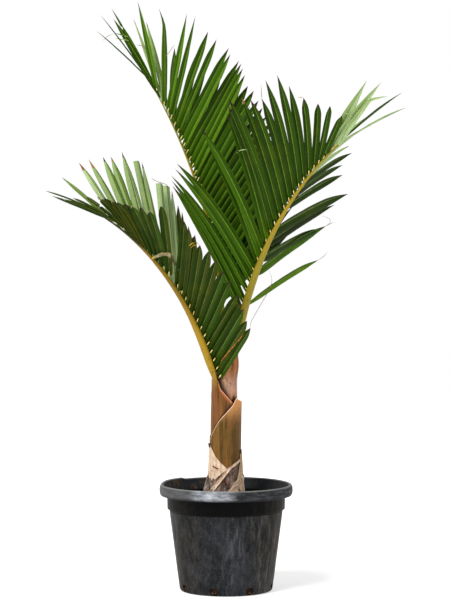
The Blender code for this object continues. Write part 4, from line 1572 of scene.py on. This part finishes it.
# What the half of a blade that turns from the light has instead
DARKER = {"fresh": "bright", "bright": "deep", "deep": "moss", "olive": "moss", "dusk": "olive",
          "pale": "silver", "silver": "sage"}
print("leaflet finishes:", ", ".join(leaf_finishes))

# %% [markdown]
# ### The six rows
# Each row has tints by place along the rib, for the upper and for the under side, a midrib colour, and a
# taper: where its blades start to narrow, and how suddenly. Width and facing change along the rib as well.
# Facing is how far the blades turn to the viewer. Feet is how long and narrow they are where they leave the
# rib, and lift how far over its middle.

# %% Looks of the rows
LIFT = 0.002
BLUNT = (0.84, 2.0)
# The darker tints near the ribs' feet, on the tall frond's near row below its middle, on the left frond's
# near row and in the right frond's outer cluster are painted shade; dusk is a painted sheen.
ROW_LOOKS = {
    TALL_FAR: {
        "tints": [(0, "bright deep", "bright deep"), (0.82, "silver", "silver"), (0.89, "deep", "deep")],
        "midrib": "midrib", "taper": (0.55, 2.2), "width": [(0, 1)], "facing": [(0, 0)]},
    TALL_NEAR: {
        "tints": [(0, "deep bright deep", "bright deep"),
                  (0.55, "bright deep bright", "bright fresh bright")],
        "midrib": "midrib", "taper": (0.45, 1.8), "width": [(0, 0.84)],
        "facing": [(0, 0.2), (0.8, 0.2), (1, 0.5)], "feet": 0.4},
    RIGHT_INNER: {
        "tints": [(0, "bright deep bright", "bright"), (0.5, "deep", "deep"), (0.93, "pale silver", "pale")],
        "midrib": "midrib", "taper": (0.6, 2.2), "width": [(0.14, 0.74), (0.34, 0.84), (0.4, 0.96)],
        "facing": [(0, 0), (0.8, 0), (0.9, 0.4)], "feet": 0.45},
    RIGHT_OUTER: {
        "tints": [(0, "fresh", "fresh"), (0.2, "bright", "bright"), (0.4, "moss shade", "moss"),
                  (0.78, "deep silver", "silver")],
        "midrib": "dull_midrib", "taper": (0.62, 2.0), "width": [(0.6, 1.12), (0.7, 0.86)],
        "facing": [(0, 0.3)], "feet": 2.2},
    LEFT_FAR: {
        "tints": [(0, "deep olive", "olive deep"), (0.42, "silver pale", "silver pale")],
        "midrib": "dull_midrib", "taper": (0.62, 2.4), "width": [(0, 1.05)], "facing": [(0, 0.3)]},
    LEFT_NEAR: {
        "tints": [(0, "deep olive", "deep olive"), (0.25, "olive", "olive"),
                  (0.52, "dusk olive deep", "olive deep")],
        "midrib": "dull_midrib", "taper": (0.8, 2.4),
        "width": [(0.7, 0.98), (0.8, 0.72), (0.88, 0.45), (1, 0.28)],
        "facing": [(0, 0.4), (0.5, 0.6), (0.7, 0.85)], "feet": 0.7, "lift": 0.006},
}
print("rows with looks:", len(ROW_LOOKS))

# %% [markdown]
# These are the tips that can be told apart in the photo, each at the pixel where it ends. The numbers count
# the leaflets from the foot of the rib. Those that aren't here are hidden, and follow their row's rule.

# %% Tips seen in the photo
TIPS_SEEN = {
    TALL_NEAR: {
        6: (283, 157), 7: (281, 151), 8: (279, 144), 9: (276, 137), 10: (273, 130), 11: (270, 123),
        12: (266.5, 116), 13: (262.5, 108), 14: (258.5, 100.5), 15: (253.7, 90.8), 16: (247.9, 85.9),
        17: (244.9, 75.0), 18: (242.9, 68.3), 19: (241.3, 63.6), 20: (238.9, 60.9), 21: (230.4, 54.2),
        22: (228.6, 48.2), 23: (216.5, 39.5), 24: (208.1, 31.5), 25: (195.3, 16.5), 26: (186.8, 14.0),
        27: (159.1, 8.8), 29: (137.7, 1.6), 30: (111.8, 8.8)},
    TALL_FAR: {
        7: (266, 140), 8: (260, 130), 9: (255, 118), 10: (250, 106), 11: (244, 97), 12: (240, 90),
        13: (237, 82), 14: (232, 76), 15: (223, 68), 16: (220, 62), 17: (208, 56), 18: (198, 50.5),
        19: (174.5, 48), 20: (146.3, 22), 21: (133.6, 19.5), 22: (113.5, 19), 23: (100.9, 15.5),
        24: (97.5, 31.6)},
    RIGHT_INNER: {
        0: (172.5, 185.9), 1: (172, 181), 2: (171.2, 175.6), 3: (175.2, 168.9), 4: (177, 163.6),
        5: (203, 132), 6: (200.5, 127.9), 7: (227, 113.6), 8: (228, 106), 9: (229.3, 99.8),
        10: (241.5, 97.5), 11: (250.5, 99.5), 12: (262, 99), 13: (265.6, 80.5), 14: (277.2, 75.2),
        15: (289, 86), 16: (303.5, 98), 17: (318, 103.5), 18: (330, 106), 19: (342, 115.8),
        20: (366.7, 80.7), 21: (381.3, 82.2), 22: (388, 96)},
    RIGHT_OUTER: {
        0: (318.5, 260), 2: (326, 226), 3: (322, 228.5), 4: (334.5, 205), 5: (348, 194), 7: (342.7, 175),
        8: (342.7, 165), 9: (352, 153), 10: (349, 146), 11: (362, 129), 12: (367, 117), 13: (401.5, 93),
        14: (405.5, 107.8)},
    LEFT_FAR: {
        6: (182, 212), 7: (178, 205), 8: (172, 191), 9: (166, 186), 10: (159.5, 183.5), 11: (142, 162.5),
        12: (136.5, 161), 13: (124, 156), 14: (122, 152), 15: (111, 156.8), 16: (103, 157),
        17: (88.7, 159.5), 18: (82, 167), 19: (79, 162.8), 20: (66, 181), 21: (62, 177.5), 22: (52, 196)},
    LEFT_NEAR: {
        0: (250.5, 328), 1: (247, 321), 2: (243.5, 309), 3: (240.5, 303), 4: (237.5, 295), 5: (230, 280.5),
        6: (224, 270.5), 7: (216.5, 260), 8: (209, 250.5), 9: (200, 245), 10: (194, 236), 11: (189, 229),
        12: (184.3, 221.5), 14: (161.5, 208), 15: (148.5, 209.7), 16: (140, 207), 17: (131, 205),
        18: (124, 203.5), 19: (117, 202), 20: (111, 200), 21: (104, 198), 22: (97, 196.5), 23: (90, 195.5),
        24: (84, 195.4), 25: (76, 196.5), 26: (72.3, 197.8), 27: (62, 199), 28: (54, 197), 29: (46, 191)},
}
print("tips seen:", sum(len(tips) for tips in TIPS_SEEN.values()))

# %% [markdown]
# Some leaflets have a way of their own: short and cut off, bent over, dried at the tip, or paler than their
# neighbours. Each entry says which leaflets of a row it is for. `blunt` cuts a blade off at that share of
# its length, and `kink` is where it bends and by how many degrees.

# %% Ways of single leaflets
CUT_OFF = {"blunt": 0.86, "taper": (0.9, 2)}
WAYS = {
    TALL_NEAR: [(range(4, 17), {"taper": BLUNT}), (range(17, 25), {"taper": (0.76, 1.8)}),
                ([27], {"kink": (0.78, -24), "width": 1.1}), ([29], {"width": 1.15}),
                ([30], {"width": 1.3})],
    TALL_FAR: [([20, 21], {"root": 6, "width": 0.8}), ([23], {"width": 0.5, "rise": 22}),
               ([24], {"width": 0.6, "rise": 40})],
    RIGHT_INNER: [([0], {"width": 1.15}), ([2], {"width": 0.8}), ([3], {"width": 0.85}),
                  ([8, 9], {"taper": (0.74, 2.2)}), ([10], {"tip": "dry_tip", "dry_from": 0.93}),
                  ([11, 12], {"taper": (0.74, 2.0)}), ([16, 17], {"taper": BLUNT}),
                  ([18], {"taper": BLUNT, "rise": -6, "root": 1}),
                  ([19], {"taper": BLUNT, "rise": -8, "tint": "deep", "width": 1.1, "root": 1}),
                  ([20, 21], {"taper": (0.34, 1.5), "rise": 16, "width": 2.1, "root": 1.5, "tip": "pale"}),
                  ([22], {"taper": (0.5, 1.6), "rise": 16, "width": 1.2, "root": 2, "kink": (0.72, 35),
                          "tip": "pale"})],
    RIGHT_OUTER: [([0], {"tint": "fresh", "taper": (0.7, 2.0), "root": 5, "width": 0.64}),
                  ([4], {"tint": "shade"}), ([5], {"tint": "moss", "width": 1.25}),
                  ([12], {"tint": "pale", "tip": "pale"}), ([13], {"tint": "deep", "width": 0.8}),
                  ([14], {"tint": "pale", "width": 0.6, "tip": "pale"})],
    LEFT_FAR: [([8], {"tint": "pale"}), ([9], {**CUT_OFF, "tint": "pale"}), ([10, 12], CUT_OFF),
               ([15], {"tip": "dry_tip", "dry_from": 0.92}), ([17], {"tip": "amber", "dry_from": 0.88}),
               ([19], {"tip": "dry_tip", "dry_from": 0.88}), ([21], {"width": 0.8}),
               ([22], {"tint": "deep", "width": 0.6})],
    LEFT_NEAR: [([0], {"width": 0.85}), ([1], {"width": 1.05}), ([2], {"width": 1.2}),
                ([14], {"taper": BLUNT, "blunt": 0.97}),
                ([15], {"taper": BLUNT, "tip": "tan", "dry_from": 0.97}),
                ([17], {"tip": "tan", "dry_from": 0.95}), ([20, 22], {"tip": "tan", "dry_from": 0.955}),
                ([24], {"tip": "tan", "dry_from": 0.935}), ([26], {"tip": "tan", "dry_from": 0.93}),
                ([27], {"tip": "tan", "dry_from": 0.945})],
}
print("own ways:", sum(len(numbers) for ways in WAYS.values() for numbers, _ in ways), "leaflets")

# %% [markdown]
# A leaflet without a way of its own has the plain one. Towards the rib's end the blades leave it slowly, so
# their feet are long and narrow there.

# %% The way of any leaflet
PLAIN_WAY = {"angle": 0, "rise": 0, "reach": 1, "width": 1, "blunt": 1, "kink": (2, 0), "tip": "tip",
             "dry_from": 0.965}
ROOT_STRETCH = [(0, 1.0), (0.8, 1.2), (0.9, 3.0), (1, 6.0)]
LONGEST_ROOT = 6


def way_of(key, number, place):
    looks = ROW_LOOKS[key]
    root = min(LONGEST_ROOT, looks.get("feet", 1) * along(ROOT_STRETCH, place))
    of_row = {"taper": looks["taper"], "lift": looks.get("lift", LIFT), "root": root,
              "facing": along(looks["facing"], place)}
    own = next((way for numbers, way in WAYS[key] if number in numbers), {})
    return {**PLAIN_WAY, **of_row, **own}


print("the first leaflet at the right has", way_of(RIGHT_OUTER, 0, 0.16)["width"], "of the full width")

# %% [markdown]
# ### Growing the rows
# Each row draws its random play in the same order as the solids did. So in the rows that are as closely set
# as theirs a hidden leaflet lies where its plain stand-in lies. The colours and the twist have draws of
# their own, and don't disturb that order.

# %% A row of leaflets
MOST_TWIST = 22


def halves(tint):
    """The finishes of a blade's two halves: in the main light, and turned from it."""
    return FINISH_NUMBER[tint], FINISH_NUMBER[DARKER.get(tint, tint)]


def grow_row(name, row, shape, marks, grown):
    """Add a row's leaflets. Grown lists each one's foot, the rib's half width there, and which finish
    of its upper side turns into which on its under side."""
    key = (name, row["side"])
    looks = ROW_LOOKS[key]
    frond = FRONDS[name]
    chance = random.Random(row["seed"])
    twists = random.Random(row["seed"] + 100)
    dealer = random.Random(row["seed"] + 200)
    for i, place in enumerate(leaflet_places(row, frond["crowding"])):
        play = [chance.uniform(-1, 1) for _ in range(3)]
        twist = twists.uniform(-MOST_TWIST, MOST_TWIST)
        _, above, below = [tint for tint in looks["tints"] if tint[0] <= max(0, place)][-1]
        above = dealer.choice(above.split())
        below = dealer.choice(below.split())
        if i in row.get("missing", ()):
            continue
        way = way_of(key, i, place)
        if i in TIPS_SEEN[key]:
            way = aimed(ribs[name], row, place, play, way, TIPS_SEEN[key][i])
        line, direction, face = leaflet_line(ribs[name], row, place, play, way)
        lit, unlit = halves(way.get("tint", above))
        under_lit, under_unlit = halves(way.get("tint", below))
        indices = {"blade": lit, "darker": unlit, "midrib": FINISH_NUMBER[looks["midrib"]],
                   "tip": FINISH_NUMBER[way["tip"]]}
        width = along(BLADE_WIDTH, place) * along(looks["width"], place) * way["width"]
        add_leaflet(shape, marks, line, direction, face, width, twist, way, indices, len(grown))
        rib_half = softly(frond["half_width"], place, 0.03)
        grown.append((line[0], rib_half, {lit: under_unlit, unlit: under_lit}))


print("a leaflet twists by up to", MOST_TWIST, "degrees")


# %% [markdown]
# A frond's leaflets are one piece. They grow as open blades and get their under side from one thickening at
# the end, in the colours of under sides. A second map gives every side of every leaflet a strip of its own,
# where a baked picture can lie without two leaflets sharing any of it.

# %% Leaflets
BLADE_THICKNESS = 0.0005
BAKE_MARGIN = 0.12


def bake_strips(shape, marks, sides, count):
    """A map with one strip for each side of each leaflet, so that the leaflets don't share any of it."""
    leaf = shape.loops.layers.uv["leaf"]
    strips = shape.loops.layers.uv.new("OFBake")
    for face in shape.faces:
        strip = face[marks] * 2 + face[sides]
        for loop in face.loops:
            across, along_leaf = loop[leaf].uv
            down = strip + BAKE_MARGIN + (1 - 2 * BAKE_MARGIN) * across
            loop[strips].uv = (along_leaf, down / (2 * count))


def make_leaflets(name):
    shape = bmesh.new()
    shape.loops.layers.uv.new("leaf")
    marks = shape.faces.layers.int.new("leaflet")
    sides = shape.faces.layers.int.new("side")
    grown = []
    for row in FRONDS[name]["rows"]:
        grow_row(name, row, shape, marks, grown)
    upper_faces = set(shape.faces)
    bmesh.ops.solidify(shape, geom=shape.faces[:], thickness=BLADE_THICKNESS)
    for face in shape.faces:
        if face not in upper_faces:
            face[sides] = 1
            if face.material_index < len(BLADES):
                _, _, turned = grown[face[marks]]
                face.material_index = turned.get(face.material_index, face.material_index)
    bake_strips(shape, marks, sides, len(grown))
    new_piece(name + "_leaflets", shape, leaf_finishes.values(), [name])
    return grown


leaflets = {name: make_leaflets(name) for name in FRONDS}
print("leaflets:", {name: len(grown) for name, grown in leaflets.items()})

# %% [markdown]
# Where a leaflet joins the rib it has a swollen cream cushion, which lets it move. Each is a small stretched
# sphere. There are more than a hundred, so each has only a few dozen faces.

# %% Cushions at the leaflets' feet
CUSHION_HALF = (0.0017, 0.0017, 0.0078)
# How far out along its leaflet a cushion sits: this share of the rib's half width, and this much more
CUSHION_SEAT = (0.8, 0.0035)


def make_cushions(name, finish):
    shape = bmesh.new()
    for (point, course), rib_half, _ in leaflets[name]:
        swell = bmesh.ops.create_uvsphere(shape, u_segments=8, v_segments=6, radius=1)["verts"]
        turn = course.to_track_quat("Z", "X").to_matrix()
        seat = point + course * (rib_half * CUSHION_SEAT[0] + CUSHION_SEAT[1])
        place = Matrix.Translation(seat) @ (turn @ Matrix.Diagonal(CUSHION_HALF)).to_4x4()
        bmesh.ops.transform(shape, matrix=place, verts=swell)
    new_piece(name + "_cushions", shape, [finish])


cushion_finish = plain_finish("leaf_cushion", (206, 178, 84), (240, 226, 160))
for name in FRONDS:
    make_cushions(name, cushion_finish)

# %% [markdown]
# Torn leaflets leave threads, curled tips and one leaf folded over the left rib. Each is a thin ribbon that
# runs through the pixels where the photo shows it. A photo doesn't tell how deep a thread lies, but a thread
# hangs on a leaf, so rays from the camera find the leaf at each pixel, and the ribbon is laid just in front.

# %% Where the leaves lie
CURL_GAP = 0.0012
NEARBY = [(0, 0), (1.2, 0), (-1.2, 0), (0, 1.2), (0, -1.2)]

bpy.context.view_layer.update()
scene_now = bpy.context.evaluated_depsgraph_get()
leaf_trees = [BVHTree.FromObject(bpy.data.objects[name + part], scene_now)
              for name in FRONDS for part in ("_rib", "_leaflets")]


def leaf_depth(pixel):
    """The y of the nearest leaf that the camera sees at a pixel or close by, or None."""
    found = []
    for across, down in NEARBY:
        aim = from_photo((pixel[0] + across, pixel[1] + down), 0)
        for tree in leaf_trees:
            spot = tree.ray_cast(CAMERA_PLACE, (aim - CAMERA_PLACE).normalized())[0]
            if spot:
                found.append(spot.y - CURL_GAP)
    return min(found, default=None)


print("the leaf at pixel 225, 225 lies at y =", round(leaf_depth((225, 225)), 3))

# %% [markdown]
# A ribbon's middle line is a smooth curve through its points. Its formula needs one point before and one
# after each stretch, so the line is drawn on by a point at both ends. The ribbon faces the camera, bows a
# little, and runs out thin.

# %% A ribbon
CURL_SIDES = 8
CURL_STEPS = 6
CURL_THICKNESS = 0.0004
CURL_BOW = 0.0012
CURL_TURNS = [2 * math.pi * corner / CURL_SIDES for corner in range(CURL_SIDES)]


def curve_at(ends, i, share):
    """The smooth curve's point on the stretch after point i, and its course there."""
    before, start, stop, after = ends[i:i + 4]
    centre = 0.5 * (start * 2 + (stop - before) * share
                    + (before * 2 - start * 5 + stop * 4 - after) * share ** 2
                    + (start * 3 - before - stop * 3 + after) * share ** 3)
    return centre, ((stop - before) * (1 - share) + (after - start) * share).normalized()


def add_curl(shape, depth, half_width, pixels, index):
    depths = [(i, leaf_depth(pixel)) for i, pixel in enumerate(pixels)]
    leaves = [stop for stop in depths if stop[1] is not None] or [(0, depth)]
    points = [from_photo(pixel, along(leaves, i)) for i, pixel in enumerate(pixels)]
    ends = [points[0] * 2 - points[1]] + points + [points[-1] * 2 - points[-2]]
    stretches = len(points) - 1
    rings = []
    for step in range(stretches * CURL_STEPS + 1):
        i = min(step // CURL_STEPS, stretches - 1)
        centre, course = curve_at(ends, i, step / CURL_STEPS - i)
        aside = course.cross(Vector((0, 1, 0))).normalized()
        whole = step / (stretches * CURL_STEPS)
        wide = half_width * (0.15 + 0.85 * math.sin(math.pi * min(0.94, 0.06 + whole)) ** 0.7)
        bow = Vector((0, -CURL_BOW, 0)) * math.sin(whole * 9)
        rings.append([centre + bow + aside * wide * math.cos(turn)
                      + Vector((0, CURL_THICKNESS, 0)) * math.sin(turn) for turn in CURL_TURNS])
    older = set(shape.faces)
    sweep(shape, rings)
    for face in set(shape.faces) - older:
        face.material_index = index


print("a ribbon has", CURL_STEPS, "rings from one of its points to the next")

# %% [markdown]
# Most of these ribbons are hair-thin threads. The first two are the folded leaf on the left rib and its
# yellow edge, and the third is the orange strip low on the left frond.

# %% Threads and curls
# Each: its finish, a depth for where no leaf is found, its half width in the middle, and its pixels
CURLS = [
    ("tan", -0.26, 0.0056,
     [(154, 258), (159, 255.2), (166, 253.6), (171, 256.5), (174.5, 262.5), (178.5, 270)]),
    ("amber", -0.263, 0.003, [(151.5, 259), (155, 256.6), (160, 254.6), (166, 253)]),
    ("orange", -0.17, 0.0021, [(221, 361), (230, 350.5), (239, 340), (243.5, 334)]),
    ("amber", -0.235, 0.0014, [(189, 246), (192, 243.5), (196, 242.5), (199.5, 245)]),
    ("amber", -0.235, 0.0012, [(191, 248), (194, 245), (197, 247)]),
    ("dry_tip", -0.08, 0.0008, [(151.4, 178), (155, 180.5), (160, 182.5), (166, 184.5), (170, 188.5)]),
    ("dry_tip", -0.11, 0.0007,
     [(250.5, 327.5), (251.5, 321), (260, 306), (270.5, 287), (271.5, 277), (268, 269)]),
    ("tip", -0.2, 0.0007, [(262, 101), (261.5, 93), (261, 84.5)]),
    ("tip", -0.11, 0.0006, [(318.5, 260), (323, 257), (327.5, 252)]),
    ("tip", -0.11, 0.0006, [(326, 226), (330, 224), (334, 222)]),
    ("pale", -0.3, 0.001, [(236, 153.5), (239, 151), (243, 149.8), (247.4, 150)]),
    ("pale", -0.3, 0.0008, [(344.8, 113), (349, 114.5), (354.3, 118)]),
    ("silver", 0.12, 0.0016, [(116, 33.5), (122, 35), (128, 37)]),
    ("silver", 0.12, 0.0014, [(115.5, 38), (122, 39.5), (129, 40.5)]),
    ("dry_tip", 0.06, 0.0009, [(137, 44.8), (142, 46), (147.5, 48.5)]),
    ("dry_tip", 0.06, 0.0008, [(165.8, 56), (169, 52.5), (172, 48), (175, 45)]),
    ("tip", 0.1, 0.0006, [(103, 40.5), (108, 36), (114, 34)]),
    ("dry_tip", -0.2, 0.0008, [(303.5, 98.5), (300.5, 97.2), (297.6, 97.8)]),
    ("tip", 0.16, 0.0006, [(325.6, 226.3), (330, 222.5), (329, 218.5), (322, 216)]),
]
CURL_COLOURS = {"tan": ((116, 104, 76), (158, 146, 112)), "amber": ((150, 116, 20), (206, 178, 62)),
                "orange": ((122, 78, 26), (180, 120, 46)), "pale": ((146, 172, 96), (206, 216, 160)),
                "silver": ((120, 150, 80), (170, 190, 120)), "dry_tip": ((120, 92, 56), (170, 140, 96)),
                "tip": ((70, 60, 54), (120, 108, 96))}


def make_curls():
    shape = bmesh.new()
    kinds = sorted(CURL_COLOURS)
    for kind, depth, half_width, pixels in CURLS:
        add_curl(shape, depth, half_width, pixels, kinds.index(kind))
    outward(shape)
    finishes = [plain_finish(kind + "_curl", *CURL_COLOURS[kind]) for kind in kinds]
    new_piece("threads_and_curls", shape, finishes)


make_curls()

# %% [markdown]
# ## Floor, backdrop and light
# The plant stands on a pale floor, in front of a white backdrop. The floor is a disc wide enough to fill the
# picture. It glows a little, as paper does in a photo that was exposed until its ground went white.

# %% Floor
FLOOR_RADIUS = 6.0
FLOOR_DEPTH = 0.0005
FLOOR_GLOW = 0.45
PAPER_WHITE = (0.84, 0.84, 0.84, 1)


def make_floor():
    shape = bmesh.new()
    bmesh.ops.create_circle(shape, cap_ends=True, segments=96, radius=FLOOR_RADIUS)
    bmesh.ops.translate(shape, verts=shape.verts, vec=(0, 0, -FLOOR_DEPTH))
    finish = Finish("pale_floor", 0.9, Specular_IOR_Level=0.0, Emission_Strength=FLOOR_GLOW)
    finish.colour(PAPER_WHITE)
    finish.put(finish.shader.inputs["Emission Color"], (1, 1, 1, 1))
    floor = as_object("floor", shape, [finish])
    bpy.context.scene.collection.objects.link(floor)


make_floor()
print("floor:", 2 * FLOOR_RADIUS, "metres across")

# %% [markdown]
# The soft main light falls from the upper left. Sun lamps with a wide angle stand for large softboxes far
# away, so that their light is even over the whole plant. A weak one from the right opens the shadows, and
# one from behind gives the leaves their bright edges.

# %% Lights
def add_lamp(name, place, spread, power):
    """A large soft lamp far away, so that its light is even. Spread is how wide it looks, in degrees."""
    lamp = bpy.data.lights.new(name, "SUN")
    lamp.angle = math.radians(spread)
    lamp.energy = power
    holder = bpy.data.objects.new(name, lamp)
    holder.location = place
    holder.rotation_euler = (-Vector(place)).to_track_quat("-Z", "Y").to_euler()
    bpy.context.scene.collection.objects.link(holder)


add_lamp("key", (-3.0, -4.0, 5.0), 24, 2.5)
add_lamp("fill", (4.0, -5.0, 2.0), 50, 0.35)
add_lamp("back", (1.5, 4.0, 5.0), 40, 0.5)
print("lamps:", len(bpy.data.lights))

# %% [markdown]
# The world is the studio itself: white all round and darker overhead, so that the walls show white and the
# light keeps its direction.

# %% Studio
# From the z of a direction to how light it is there
OVERHEAD = {"From Min": 0.25, "From Max": 0.5, "To Min": 1.0, "To Max": 0.3}


def make_studio():
    world = bpy.data.worlds.new("studio")
    world.use_nodes = True
    nodes = world.node_tree.nodes
    links = world.node_tree.links
    view = nodes.new("ShaderNodeTexCoord")
    parts = nodes.new("ShaderNodeSeparateXYZ")
    fade = nodes.new("ShaderNodeMapRange")
    fade.interpolation_type = "SMOOTHSTEP"
    for key, value in OVERHEAD.items():
        fade.inputs[key].default_value = value
    links.new(view.outputs["Generated"], parts.inputs[0])
    links.new(parts.outputs["Z"], fade.inputs["Value"])
    links.new(fade.outputs[0], nodes["Background"].inputs["Strength"])
    nodes["Background"].inputs["Color"].default_value = (1, 1, 1, 1)
    return world


bpy.context.scene.world = make_studio()
bpy.context.scene.view_settings.view_transform = "Standard"
print("light overhead:", OVERHEAD["To Max"], "of that all round")
